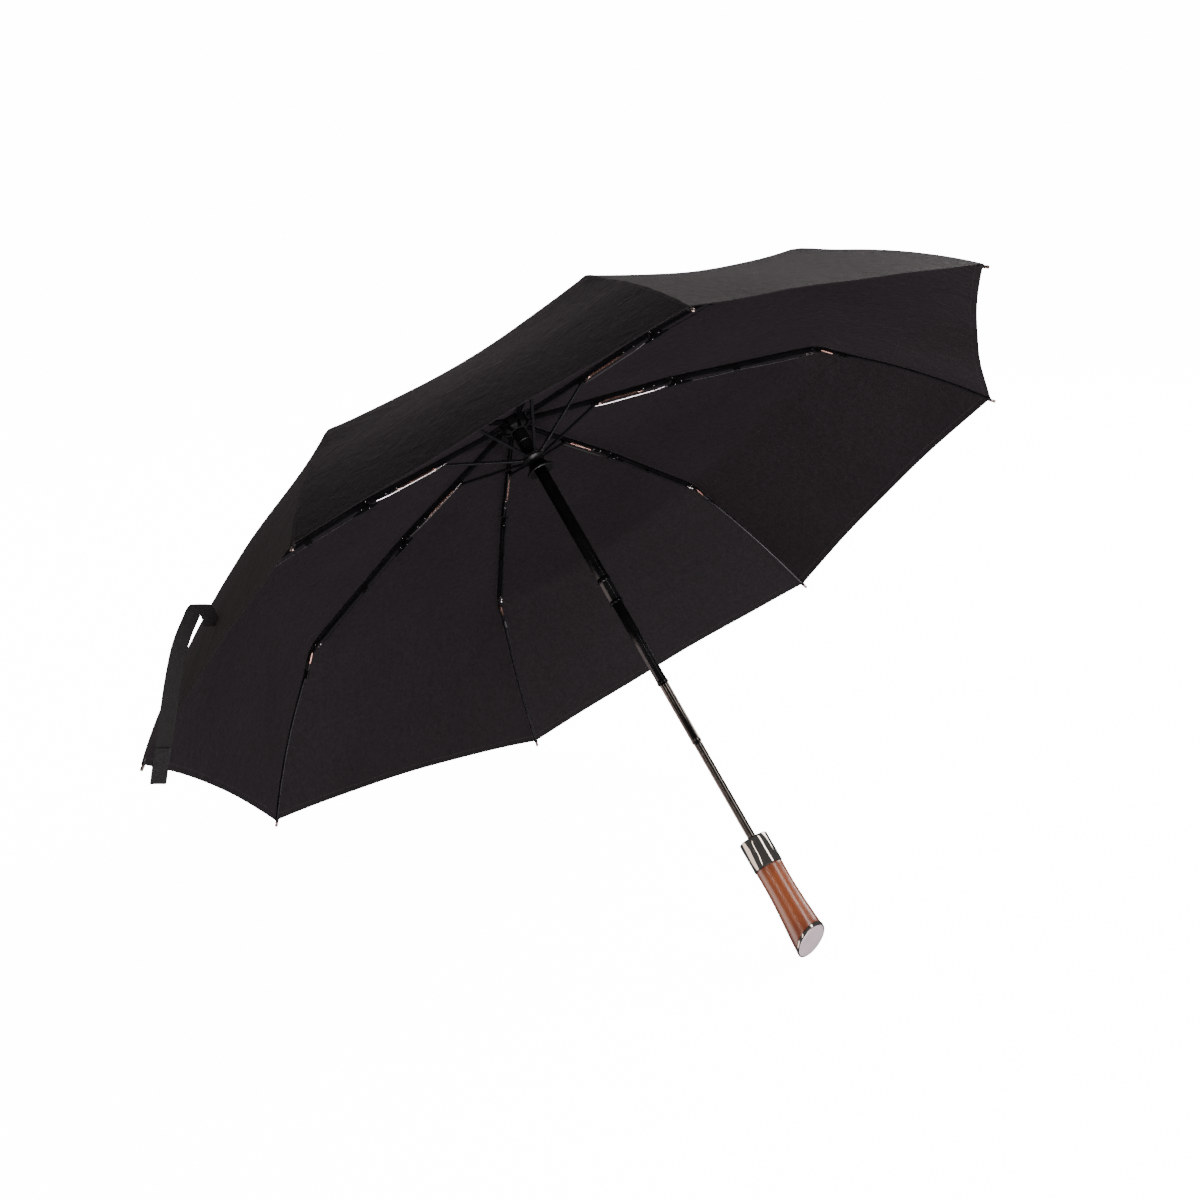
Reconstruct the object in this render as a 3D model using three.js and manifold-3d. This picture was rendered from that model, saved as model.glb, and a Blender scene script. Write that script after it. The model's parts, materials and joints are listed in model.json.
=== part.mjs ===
// A three-fold umbrella with eight ribs, open and lying on two rib tips and the end of its grip.
// Millimetres. Everything is first built upright around the shaft, with Z pointing to the crown,
// and the whole umbrella is then tilted until it rests on the floor at Z = 0.
import * as THREE from "three";
import { mergeVertices } from "three/addons/utils/BufferGeometryUtils.js";
import Module from "manifold-3d";

const wasm = await Module();
wasm.setup();

// ---- driving dimensions ----------------------------------------------------------------------
const RIBS = 8;
const STEP = 360 / RIBS; // degrees from one rib to the next
const FIRST_RIB = 157.5; // direction of rib 1 around the shaft, degrees

// Points of one rib's plane: distance from the shaft's axis, and height above the grip's middle.
const CROWN_PIVOT = [12.2, 606];
const KNEE = [178.2, 586.3]; // upper rib to middle rib
const ELBOW = [342.9, 556.3]; // middle rib to outer rib
const TIP = [490, 421];
const RUNNER_PIVOT = [11, 564.5];

const PIVOT_OFFSET = 2.2; // a fold hinge lies this far off the rib's centre line
const STRUT_AT = 77.8; // strut joint, along the upper rib from the crown
const STRUT_DROP = 3.2; // and below its centre line
const STRUT_START = 6.4; // the strut begins this far from the runner's pivot
const CHEEK_START = 0.95; // hinge cheeks begin this far off the rib's plane
const TONGUE = 0.65; // half thickness of a hinge tongue
const EYE = 1.8; // radius of a hinge eye
const HINGE_GAP = 4; // from a hinge to the end of the rib's channel

const UPPER = { width: 3.2, depth: 3.4 };
const MIDDLE = { width: 2.8, depth: 3 };
const STRUT = { width: 2.6, depth: 2.4 };
const CHANNEL_WALL = 0.6;
const WIRE_SIDE = 2.5; // the link wire runs beside the strut
const WIRE_DROP = 5;
const WIRE_RADIUS = 0.5;
const SLEEVE = { radius: 1.5, end: 16 }; // hinge sleeve on the outer rib
const ROD_RADIUS = 1.1;
const CAP = { radius: 1.6, length: 9 };
const ROD_BOW = 7; // the outer rib bends this far towards the cloth

// Shaft: outer size, bore, and the stretch each tube covers.
const UPPER_TUBE = { flat: 6.2, bore: 6, from: 384, to: 606.8 };
const SECOND_TUBE = { flat: 5.3, bore: 5.05, from: 289, to: 412 };
const THIRD_TUBE = { radius: 4.8, bore: 4.45, from: 221, to: 316 };
const LOWER_TUBE = { radius: 4.2, bore: 3.5, from: 22, to: 248 };
const CROWN_SLEEVE = { radius: 7.5, bore: 6.95, from: 571, to: 596 };

const CLOTH = 0.8; // thickness of the canopy
const HEM_PULL = 9; // how far the hem curves in between two ribs
const GRIP_TOP = 81;
const COLLAR_TOP = 112;
const COLLAR_RADIUS = 14.75;
const BUTTON = { height: 98.7, radius: 8.7, direction: 244.6 };
const GRIP_END = { height: 0.5, slant: 27.2, direction: 273, radius: 17.3 };
const END_PLATE = 1.2; // thickness of the plate on the slanted end
const END_RING = 2.6; // height of the ring around it
const GAP = 0.3;

// ---- materials -------------------------------------------------------------------------------
const finish = (color, roughness, metalness) => () =>
  new THREE.MeshStandardMaterial({ color, roughness, metalness });
const BLACK_PAINT = finish(0x15151a, 0.38, 0.4);
const BLACK_PLASTIC = finish(0x121214, 0.45, 0);
const BLACK_CLOTH = finish(0x1b191b, 0.85, 0);
const WEBBING = finish(0x101011, 0.9, 0);
const SILVER_WIRE = finish(0xd2cdcb, 0.25, 1);
const DARK_TUBE = finish(0x17171c, 0.28, 0.8);
const GUNMETAL = finish(0x6f6a67, 0.22, 1);
const DARK_CHROME = finish(0x8f8680, 0.12, 1);
const LACQUERED_WOOD = finish(0x8c3b1e, 0.22, 0);
const BRUSHED_PLATE = finish(0xcfc4c6, 0.4, 0.9);
const SPRING_STEEL = finish(0x9a9a9c, 0.35, 1);

// ---- solids ----------------------------------------------------------------------------------
// A closed geometry as a solid, turned right side out if its faces point inwards.
function solid(geometry) {
  const bare = new THREE.BufferGeometry();
  bare.setAttribute("position", geometry.getAttribute("position"));
  if (geometry.index) bare.setIndex(geometry.index);
  const merged = mergeVertices(bare, 1e-4);
  const build = (triVerts) =>
    new wasm.Manifold(
      new wasm.Mesh({
        numProp: 3,
        vertProperties: merged.attributes.position.array,
        triVerts,
      }),
    );
  const made = build(new Uint32Array(merged.index.array));
  if (made.volume() > 0) return made;
  return build(new Uint32Array(merged.index.array).reverse());
}

function geometryOf(body) {
  const mesh = body.getMesh();
  const geometry = new THREE.BufferGeometry();
  const positions = new Float32Array(mesh.numVert * 3);
  for (let i = 0; i < mesh.numVert; i++) {
    const at = i * mesh.numProp;
    positions.set(mesh.vertProperties.subarray(at, at + 3), i * 3);
  }
  geometry.setAttribute("position", new THREE.BufferAttribute(positions, 3));
  geometry.setIndex(new THREE.BufferAttribute(new Uint32Array(mesh.triVerts), 1));
  geometry.computeVertexNormals();
  return geometry;
}

const join = (...bodies) => bodies.reduce((all, body) => all.add(body));

function piece(name, body, material) {
  const mesh = new THREE.Mesh(geometryOf(body), material());
  mesh.name = name;
  return mesh;
}

// A solid of revolution about Z, from [radius, height] points.
function turned(points, segments = 24) {
  const profile = points.map(([r, h]) => new THREE.Vector2(r, h));
  return solid(new THREE.LatheGeometry(profile, segments).rotateX(Math.PI / 2));
}

// The wall of a tube: an outside radius, a bore, and its two ends.
function tube(radius, bore, from, to, segments = 24) {
  return turned(
    [
      [bore, from],
      [radius, from],
      [radius, to],
      [bore, to],
      [bore, from],
    ],
    segments,
  );
}

// A plate in the XZ plane, from one Y to another.
function plate(outline, from, to) {
  const geometry = new THREE.ExtrudeGeometry(outline, {
    depth: to - from,
    bevelEnabled: false,
    curveSegments: 4,
  });
  return solid(geometry.rotateX(Math.PI / 2).translate(0, to, 0));
}

function box(x0, x1, y0, y1, z0, z1) {
  const geometry = new THREE.BoxGeometry(x1 - x0, y1 - y0, z1 - z0);
  return solid(
    geometry.translate((x0 + x1) / 2, (y0 + y1) / 2, (z0 + z1) / 2),
  );
}

// A round bar along X whose radius follows [x, radius] points.
function bar(points, segments = 8) {
  const profile = points.map(([x, r]) => new THREE.Vector2(r, x));
  return solid(new THREE.LatheGeometry(profile, segments).rotateZ(-Math.PI / 2));
}

function wire(points, radius, sides, steps) {
  const section = new THREE.Shape();
  section.absarc(0, 0, radius, 0, 2 * Math.PI);
  const path = new THREE.CatmullRomCurve3(
    points.map((p) => new THREE.Vector3(...p)),
    false,
    "catmullrom",
    0.1,
  );
  const geometry = new THREE.ExtrudeGeometry(section, {
    steps,
    curveSegments: sides / 2,
    extrudePath: path,
  });
  return solid(geometry);
}

// A polygon with a round eye at one of its ends, in the XZ plane.
function armWithEye(root, eye, radius) {
  const shape = new THREE.Shape();
  const [low, high] = root;
  const along = Math.atan2(eye[1] - (low[1] + high[1]) / 2, eye[0] - (low[0] + high[0]) / 2);
  shape.moveTo(...low);
  shape.absarc(eye[0], eye[1], radius, along - Math.PI / 2, along + Math.PI / 2);
  shape.lineTo(...high);
  shape.closePath();
  return shape;
}

// A U-shaped channel along X, open downwards, to the shelter's side.
function channel({ width, depth }, from, to) {
  const half = width / 2;
  const top = depth / 2;
  const beam = box(from, to, -half, half, -top, top);
  const groove = box(
    from - 1,
    to + 1,
    CHANNEL_WALL - half,
    half - CHANNEL_WALL,
    -top - 1,
    top - 2 * CHANNEL_WALL,
  );
  return beam.subtract(groove);
}

// ---- one rib's plane -------------------------------------------------------------------------
const lengthOf = (a, b) => Math.hypot(b[0] - a[0], b[1] - a[1]);
const fallOf = (a, b) => Math.atan2(a[1] - b[1], b[0] - a[0]);

// Places a piece that is built along X with its canopy side up, so that X runs from a to b.
function laidAlong(mesh, a, b) {
  mesh.rotation.y = fallOf(a, b);
  mesh.position.set(a[0], 0, a[1]);
  return mesh;
}

// A point given along and above a rib, in the rib's plane.
function pointOn(a, b, along, above) {
  const fall = fallOf(a, b);
  return [
    a[0] + along * Math.cos(fall) + above * Math.sin(fall),
    a[1] - along * Math.sin(fall) + above * Math.cos(fall),
  ];
}

// Where a point of the rib's plane lies, along and above the rib from a to b.
function seenFrom(a, b, point) {
  const fall = fallOf(a, b);
  const [x, z] = [point[0] - a[0], point[1] - a[1]];
  return [x * Math.cos(fall) - z * Math.sin(fall), x * Math.sin(fall) + z * Math.cos(fall)];
}

const upperLength = lengthOf(CROWN_PIVOT, KNEE);
const middleLength = lengthOf(KNEE, ELBOW);
const outerLength = lengthOf(ELBOW, TIP);
const strutJoint = pointOn(CROWN_PIVOT, KNEE, STRUT_AT, -STRUT_DROP);
const kneePivot = pointOn(CROWN_PIVOT, KNEE, upperLength, PIVOT_OFFSET);
const elbowPivot = pointOn(KNEE, ELBOW, middleLength, -PIVOT_OFFSET);

// Two cheeks either side of the rib's plane, from the channel's end to a fold hinge.
function cheeks(section, eye) {
  const top = section.depth / 2;
  const back = eye[0] - HINGE_GAP - 1;
  const outline = armWithEye(
    [
      [back, -top],
      [back, top],
    ],
    eye,
    EYE,
  );
  const outer = section.width / 2;
  return join(
    plate(outline, CHEEK_START, outer),
    plate(outline, -outer, -CHEEK_START),
  );
}

function upperRib() {
  const end = upperLength - HINGE_GAP;
  const half = UPPER.width / 2;
  const root = armWithEye(
    [
      [8, UPPER.depth / 2],
      [8, -UPPER.depth / 2],
    ],
    [0, 0],
    UPPER.depth / 2,
  );
  return join(
    channel(UPPER, 6, end),
    plate(root, -half, half),
    cheeks(UPPER, seenFrom(CROWN_PIVOT, KNEE, kneePivot)),
  );
}

function strut() {
  const length = lengthOf(RUNNER_PIVOT, strutJoint);
  const half = STRUT.depth / 2;
  const outline = armWithEye(
    [
      [STRUT_START, -half],
      [STRUT_START, half],
    ],
    [length, 0],
    half,
  );
  const arm = plate(outline, -STRUT.width / 2, STRUT.width / 2);
  const slot = CHANNEL_WALL - STRUT.width / 2;
  return arm.subtract(box(0, length - 8, slot, -slot, 0, STRUT.depth));
}

// The wire that folds the middle rib: from the strut's end to the knee block.
function linkWire() {
  const end = upperLength - 9.4;
  return wire(
    [
      [STRUT_AT - 4, WIRE_SIDE, -WIRE_DROP + 1],
      [STRUT_AT + 6, WIRE_SIDE, -WIRE_DROP],
      [end - 9, WIRE_SIDE, -WIRE_DROP],
      [end, WIRE_SIDE, -WIRE_DROP + 1.2],
    ],
    WIRE_RADIUS,
    4,
    6,
  );
}

// The block at the knee: it holds the middle rib's root, and its tail takes the link wire.
function kneeBlock() {
  const web = new THREE.Shape();
  web.moveTo(HINGE_GAP + 3, -MIDDLE.depth / 2);
  web.lineTo(HINGE_GAP + 3, MIDDLE.depth / 2);
  web.lineTo(HINGE_GAP, MIDDLE.depth / 2);
  web.absarc(...seenFrom(KNEE, ELBOW, kneePivot), EYE, Math.PI / 2, Math.PI);
  web.lineTo(-EYE, -5.5);
  web.lineTo(2, -5.5);
  web.closePath();
  const tail = new THREE.Shape();
  tail.moveTo(-8.5, -7.4);
  tail.lineTo(9, -7.4);
  tail.lineTo(20, -6.4);
  tail.lineTo(20, -5);
  tail.lineTo(8, -3);
  tail.lineTo(-3, -3.2);
  tail.lineTo(-4.6, -5.2);
  tail.lineTo(-8.5, -5.4);
  tail.closePath();
  return join(
    plate(web, -TONGUE, TONGUE),
    plate(tail, -MIDDLE.width / 2, MIDDLE.width / 2),
    box(HINGE_GAP, 12, -MIDDLE.width / 2, MIDDLE.width / 2, -4.5, MIDDLE.depth / 2),
  );
}

function middleRib() {
  const end = middleLength - HINGE_GAP;
  const half = MIDDLE.width / 2;
  return join(
    channel(MIDDLE, HINGE_GAP + 1, end),
    kneeBlock(),
    box(end - 13, end - 3.5, -half, half, -MIDDLE.depth / 2, MIDDLE.depth / 2),
    cheeks(MIDDLE, seenFrom(KNEE, ELBOW, elbowPivot)),
  );
}

// How far the outer rib has bent away from a straight line, along it.
function bowAt(along) {
  const share = Math.max(along - SLEEVE.end, 0) / (outerLength - SLEEVE.end);
  return 4 * ROD_BOW * share * (1 - share);
}

function outerRib() {
  const start = HINGE_GAP + 0.6;
  const cap = outerLength - CAP.length;
  const span = (share) => [SLEEVE.end + share * (cap - SLEEVE.end), ROD_RADIUS];
  const rod = bar([
    [start, 0],
    [start, SLEEVE.radius],
    [SLEEVE.end, SLEEVE.radius],
    [SLEEVE.end, ROD_RADIUS],
    ...[0.15, 0.3, 0.45, 0.6, 0.8].map(span),
    [cap, ROD_RADIUS],
    [cap, CAP.radius],
    [outerLength - 1, CAP.radius],
    [outerLength, 0.6 * CAP.radius],
    [outerLength, 0],
  ]);
  const tongue = armWithEye(
    [
      [start + 2, 1.2],
      [start + 2, -1.2],
    ],
    seenFrom(ELBOW, TIP, elbowPivot),
    EYE,
  );
  const bent = rod.warp((at) => {
    at[2] += bowAt(at[0]);
  });
  return join(bent, plate(tongue, -TONGUE, TONGUE));
}

function ribAssembly(k) {
  const arm = new THREE.Group();
  arm.add(
    laidAlong(piece(`upper_rib_${k}`, upperRib(), BLACK_PAINT), CROWN_PIVOT, KNEE),
    laidAlong(piece(`link_wire_${k}`, linkWire(), SILVER_WIRE), CROWN_PIVOT, KNEE),
    laidAlong(piece(`middle_rib_${k}`, middleRib(), BLACK_PAINT), KNEE, ELBOW),
    laidAlong(piece(`outer_rib_${k}`, outerRib(), BLACK_PAINT), ELBOW, TIP),
    laidAlong(piece(`strut_${k}`, strut(), BLACK_PAINT), RUNNER_PIVOT, strutJoint),
  );
  arm.rotation.z = THREE.MathUtils.degToRad(FIRST_RIB - (k - 1) * STEP);
  return arm;
}

// ---- crown, runner and shaft -----------------------------------------------------------------
// An eight-sided tube with a round bore. "flat" is the distance from its axis to a side.
function prismTube({ flat, bore, from, to }) {
  const outline = new THREE.Shape();
  const corner = flat / Math.cos(Math.PI / 8);
  for (let i = 0; i < 8; i++) {
    const turn = ((i + 0.5) * Math.PI) / 4;
    const at = [corner * Math.cos(turn), corner * Math.sin(turn)];
    if (i) outline.lineTo(...at);
    else outline.moveTo(...at);
  }
  outline.closePath();
  const hole = new THREE.Path();
  hole.absarc(0, 0, bore, 0, 2 * Math.PI);
  outline.holes.push(hole);
  const geometry = new THREE.ExtrudeGeometry(outline, {
    depth: to - from,
    bevelEnabled: false,
    curveSegments: 12,
  });
  return solid(geometry.translate(0, 0, from));
}

// Eight copies of a box around the shaft, one in each rib's plane.
function aroundRibs(make) {
  const copies = [];
  for (let i = 0; i < RIBS; i++) copies.push(make().rotate([0, 0, STEP / 2 + i * STEP]));
  return copies;
}

const NECK = 3.5;
const CROWN_TOP = 611;

function crown() {
  const body = turned([
    [0, 607.2],
    [6.95, 607.2],
    [6.95, 597],
    [8.6, 597],
    [14, 599],
    [15, 601],
    [15, 609.6],
    [13.6, CROWN_TOP],
    [NECK, CROWN_TOP],
    [NECK, 621],
    [0, 621],
  ]);
  const slots = aroundRibs(() => box(9.6, 20, -2, 2, 590, 608.2));
  return slots.reduce((left, slot) => left.subtract(slot), body);
}

const WASHER_FLOOR = CROWN_TOP + CLOTH + 2 * GAP;

function washer() {
  return turned([
    [NECK + GAP, WASHER_FLOOR],
    [13.5, WASHER_FLOOR],
    [13.5, WASHER_FLOOR + 0.8],
    [NECK + GAP, WASHER_FLOOR + 0.8],
    [NECK + GAP, WASHER_FLOOR],
  ]);
}

function ferrule() {
  const foot = WASHER_FLOOR + 0.8 + GAP;
  return turned([
    [NECK + GAP, foot],
    [10.5, foot],
    [10.5, foot + 2],
    [9, foot + 6],
    [6.2, foot + 11],
    [3, foot + 13.6],
    [0, foot + 14.2],
    [0, 621 + GAP],
    [NECK + GAP, 621 + GAP],
    [NECK + GAP, foot],
  ]);
}

const LUG_END = 2.6; // beyond the strut's pivot

// The runner: a notched rim with a lug for each strut, a slim waist and a flared hollow skirt.
function runner() {
  const spool = turned([
    [7.1, 551.5],
    [12.2, 547.4],
    [12.2, 546.5],
    [14.7, 546.5],
    [14.7, 549],
    [12.4, 551],
    [9.6, 554],
    [8.9, 557.5],
    [9.8, 560.5],
    [11.7, 562.4],
    [11.7, 566],
    [7.1, 566],
    [7.1, 551.5],
  ]);
  const rise = THREE.MathUtils.radToDeg(fallOf(RUNNER_PIVOT, strutJoint));
  const lugs = aroundRibs(() =>
    box(-2, LUG_END, -1.5, 1.5, -1.2, 1.2)
      .rotate([0, rise, 0])
      .translate([RUNNER_PIVOT[0], 0, RUNNER_PIVOT[1]]),
  );
  return join(spool, ...lugs);
}

// ---- canopy ----------------------------------------------------------------------------------
// The cloth's inner face above a rib, as [distance from the axis, height] points.
function clothProfile() {
  const kneeFall = (fallOf(CROWN_PIVOT, KNEE) + fallOf(KNEE, ELBOW)) / 2;
  const elbowFall = (fallOf(KNEE, ELBOW) + fallOf(ELBOW, TIP)) / 2;
  const above = (p, fall, lift) => [p[0] + lift * Math.sin(fall), p[1] + lift * Math.cos(fall)];
  return [
    [NECK + 1, CROWN_TOP + GAP],
    [15.6, CROWN_TOP + GAP],
    [34, 607.2],
    above(KNEE, kneeFall, 4.7),
    above(ELBOW, elbowFall, 2.6),
    pointOn(ELBOW, TIP, outerLength * 0.35, 2.4 + bowAt(outerLength * 0.35)),
    pointOn(ELBOW, TIP, outerLength * 0.7, 2.2 + bowAt(outerLength * 0.7)),
    pointOn(ELBOW, TIP, outerLength - CAP.length + 3, 2.9),
  ];
}

const GORE_STEPS = 4; // facets across one gore

function canopy() {
  const profile = clothProfile();
  const rows = profile.length;
  const around = RIBS * GORE_STEPS;
  const outward = profile.map((p, i) => {
    const a = profile[Math.max(i - 1, 0)];
    const b = profile[Math.min(i + 1, rows - 1)];
    return fallOf(a, b);
  });
  const positions = [];
  for (const side of [0, CLOTH]) {
    for (let i = 0; i < rows; i++) {
      for (let j = 0; j < around; j++) {
        const across = (j % GORE_STEPS) / GORE_STEPS;
        const rib = THREE.MathUtils.degToRad(Math.floor(j / GORE_STEPS) * STEP + STEP / 2);
        const next = rib + THREE.MathUtils.degToRad(STEP);
        const share = Math.max(i - 4, 0) / (rows - 5);
        const pull = 4 * across * (1 - across) * HEM_PULL * share;
        const radius = profile[i][0] - pull * Math.cos(outward[i]) + side * Math.sin(outward[i]);
        const height = profile[i][1] + pull * Math.sin(outward[i]) + side * Math.cos(outward[i]);
        positions.push(
          radius * ((1 - across) * Math.cos(rib) + across * Math.cos(next)),
          radius * ((1 - across) * Math.sin(rib) + across * Math.sin(next)),
          height,
        );
      }
    }
  }
  const index = [];
  const at = (side, i, j) => side * rows * around + i * around + (j % around);
  const quad = (a, b, c, d) => index.push(a, b, c, a, c, d);
  for (let j = 0; j < around; j++) {
    for (let i = 0; i < rows - 1; i++) {
      quad(at(0, i, j), at(0, i, j + 1), at(0, i + 1, j + 1), at(0, i + 1, j));
      quad(at(1, i, j), at(1, i + 1, j), at(1, i + 1, j + 1), at(1, i, j + 1));
    }
    quad(at(0, 0, j), at(1, 0, j), at(1, 0, j + 1), at(0, 0, j + 1));
    quad(at(0, rows - 1, j), at(0, rows - 1, j + 1), at(1, rows - 1, j + 1), at(1, rows - 1, j));
  }
  const geometry = new THREE.BufferGeometry();
  geometry.setAttribute("position", new THREE.Float32BufferAttribute(positions, 3));
  geometry.setIndex(index);
  return solid(geometry);
}

// ---- collar, button and grip -----------------------------------------------------------------
// Turns something built along +X to face a direction around the shaft.
const facing = (body, direction) => body.rotate([0, 0, direction]);

function collar() {
  const wall = 11.6;
  const shell = turned([
    [wall, GRIP_TOP + GAP],
    [COLLAR_RADIUS - 0.5, GRIP_TOP + GAP],
    [COLLAR_RADIUS, GRIP_TOP + 1],
    [COLLAR_RADIUS, COLLAR_TOP - 0.8],
    [COLLAR_RADIUS - 0.8, COLLAR_TOP],
    [8.4, COLLAR_TOP],
    [8.4, COLLAR_TOP - 2],
    [LOWER_TUBE.radius + 0.4, COLLAR_TOP - 2],
    [LOWER_TUBE.radius + 0.4, COLLAR_TOP - 3.6],
    [wall, COLLAR_TOP - 3.6],
    [wall, GRIP_TOP + GAP],
  ]);
  const hole = bar(
    [
      [8, 0],
      [8, BUTTON.radius + GAP],
      [20, BUTTON.radius + GAP],
      [20, 0],
    ],
    24,
  ).translate([0, 0, BUTTON.height]);
  return shell.subtract(facing(hole, BUTTON.direction));
}

function pushButton() {
  const disc = bar(
    [
      [8.6, 0],
      [8.6, 2.2],
      [11.9, 2.2],
      [11.9, BUTTON.radius],
      [20, BUTTON.radius],
      [20, 0],
    ],
    24,
  ).translate([0, 0, BUTTON.height]);
  const front = turned([
    [0, 80],
    [COLLAR_RADIUS + 0.35, 80],
    [COLLAR_RADIUS + 0.35, 120],
    [0, 120],
  ], 64);
  return facing(disc, BUTTON.direction).intersect(front);
}

function coil(radius, wireRadius, turns, from, to, stepsPerTurn, sides) {
  class Helix extends THREE.Curve {
    getPoint(t, target = new THREE.Vector3()) {
      const turn = 2 * Math.PI * turns * t;
      return target.set(radius * Math.cos(turn), radius * Math.sin(turn), from + (to - from) * t);
    }
  }
  const section = new THREE.Shape();
  section.absarc(0, 0, wireRadius, 0, 2 * Math.PI);
  return solid(
    new THREE.ExtrudeGeometry(section, {
      steps: turns * stepsPerTurn,
      curveSegments: sides / 2,
      extrudePath: new Helix(),
    }),
  );
}

function buttonSpring() {
  const along = coil(3.1, 0.4, 3, LOWER_TUBE.radius + 0.8, 11.2, 8, 4);
  const radial = along.rotate([0, 90, 0]).translate([0, 0, BUTTON.height]);
  return facing(radial, BUTTON.direction);
}

// Everything below the slanted end of the grip, moved along the slant's normal.
function belowEnd(shift) {
  const slant = THREE.MathUtils.degToRad(GRIP_END.slant);
  const half = box(-60, 60, -60, 60, -120, shift);
  return facing(
    half.rotate([0, -GRIP_END.slant, 0]),
    GRIP_END.direction,
  ).translate([0, 0, GRIP_END.height / Math.cos(slant)]);
}

const GRIP_OUTSIDE = [
  [14.2, GRIP_TOP],
  [13.9, 72],
  [13.9, 60],
  [14.2, 48],
  [15, 34],
  [16.1, 20],
  [17, 8],
  [GRIP_END.radius, 0],
  [GRIP_END.radius, -14],
];

function grip() {
  const bore = LOWER_TUBE.radius + 0.3;
  const blank = turned([
    [bore, 18],
    [bore, 88],
    [11.2, 88],
    [11.2, GRIP_TOP],
    ...GRIP_OUTSIDE,
    [0, -14],
    [0, 18],
    [bore, 18],
  ]);
  return blank.subtract(belowEnd(END_RING + GAP));
}

// A slice of the flared end, inside or outside a given inset from its rim.
function endSlice(outset, low, high) {
  const blank = turned([
    [0, 40],
    [GRIP_END.radius + outset, 40],
    [GRIP_END.radius + outset, -20],
    [0, -20],
  ], 48);
  return blank.intersect(belowEnd(high)).subtract(belowEnd(low));
}

const capRing = () => endSlice(0.2, 0, END_RING).subtract(endSlice(-1, -1, END_PLATE + GAP));
const endCap = () => endSlice(-1 - GAP, -0.3, END_PLATE);

// ---- tie strap -------------------------------------------------------------------------------
const STRAP = { width: 15, thickness: 1.2, fromHem: 42, off: 15, turn: 138 };
// How it hangs from its sewn end: [sideways, downwards]. The last stretch carries the fastener.
const STRAP_HANG = [
  [0, 2],
  [1, -4],
  [5, -12],
  [12.7, -19.7],
  [19, -15],
  [23, -8],
  [31, 9],
  [36, 26],
  [41.7, 57],
  [46, 93],
  [49, 115],
  [50.5, 128],
  [52, 140.4],
];
const FASTENER = { width: 14, thickness: 1, points: 3 };

// A flat band along a path whose points are [x, y, z], lying across a given direction.
function band(points, across, width, thickness) {
  const side = new THREE.Vector3(...across).normalize();
  const path = points.map((p) => new THREE.Vector3(...p));
  const positions = [];
  path.forEach((p, i) => {
    const a = path[Math.max(i - 1, 0)];
    const b = path[Math.min(i + 1, path.length - 1)];
    const run = new THREE.Vector3().subVectors(b, a).normalize();
    const normal = new THREE.Vector3().crossVectors(run, side).normalize();
    for (const [u, v] of [[-1, -1], [1, -1], [1, 1], [-1, 1]]) {
      const corner = p.clone();
      corner.addScaledVector(side, (u * width) / 2);
      corner.addScaledVector(normal, (v * thickness) / 2);
      positions.push(corner.x, corner.y, corner.z);
    }
  });
  const index = [0, 1, 2, 0, 2, 3];
  for (let i = 0; i < path.length - 1; i++) {
    for (let j = 0; j < 4; j++) {
      const [a, b] = [4 * i + j, 4 * i + ((j + 1) % 4)];
      index.push(a, a + 4, b + 4, a, b + 4, b);
    }
  }
  const last = 4 * (path.length - 1);
  index.push(last, last + 2, last + 1, last, last + 3, last + 2);
  const geometry = new THREE.BufferGeometry();
  geometry.setAttribute("position", new THREE.Float32BufferAttribute(positions, 3));
  geometry.setIndex(index);
  return solid(geometry);
}

// ---- assembly --------------------------------------------------------------------------------
const upright = new THREE.Group();
upright.add(
  piece("crown", crown(), BLACK_PLASTIC),
  piece("washer", washer(), GUNMETAL),
  piece("ferrule", ferrule(), DARK_CHROME),
  piece(
    "crown_sleeve",
    tube(CROWN_SLEEVE.radius, CROWN_SLEEVE.bore, CROWN_SLEEVE.from, CROWN_SLEEVE.to),
    BLACK_PLASTIC,
  ),
  piece("upper_tube", prismTube(UPPER_TUBE), DARK_TUBE),
  piece("second_tube", prismTube(SECOND_TUBE), DARK_TUBE),
  piece(
    "third_tube",
    tube(THIRD_TUBE.radius, THIRD_TUBE.bore, THIRD_TUBE.from, THIRD_TUBE.to),
    GUNMETAL,
  ),
  piece(
    "lower_tube",
    tube(LOWER_TUBE.radius, LOWER_TUBE.bore, LOWER_TUBE.from, LOWER_TUBE.to),
    GUNMETAL,
  ),
  piece("runner", runner(), BLACK_PLASTIC),
  piece("canopy", canopy(), BLACK_CLOTH),
  piece("collar", collar(), DARK_CHROME),
  piece("push_button", pushButton(), DARK_CHROME),
  piece("button_spring", buttonSpring(), SPRING_STEEL),
  piece("main_spring", coil(2.6, 0.5, 9, 100, 190, 8, 4), SPRING_STEEL),
  piece("grip", grip(), LACQUERED_WOOD),
  piece("cap_ring", capRing(), GUNMETAL),
  piece("end_cap", endCap(), BRUSHED_PLATE),
);
for (let k = 1; k <= RIBS; k++) upright.add(ribAssembly(k));

// Tilt: the line from the grip's lowest rim point to the middle of tips 2 and 3 becomes level.
const tipsReach = TIP[0] * Math.cos(THREE.MathUtils.degToRad(STEP / 2));
const rimDrop = GRIP_END.radius * Math.tan(THREE.MathUtils.degToRad(GRIP_END.slant));
const rise = TIP[1] - GRIP_END.height + rimDrop;
const reach = tipsReach - GRIP_END.radius;
const tipAngle = Math.asin(CAP.radius / Math.hypot(rise, reach));
export const tilt = Math.atan2(rise, reach) - tipAngle;
upright.rotation.x = -tilt;

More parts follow.
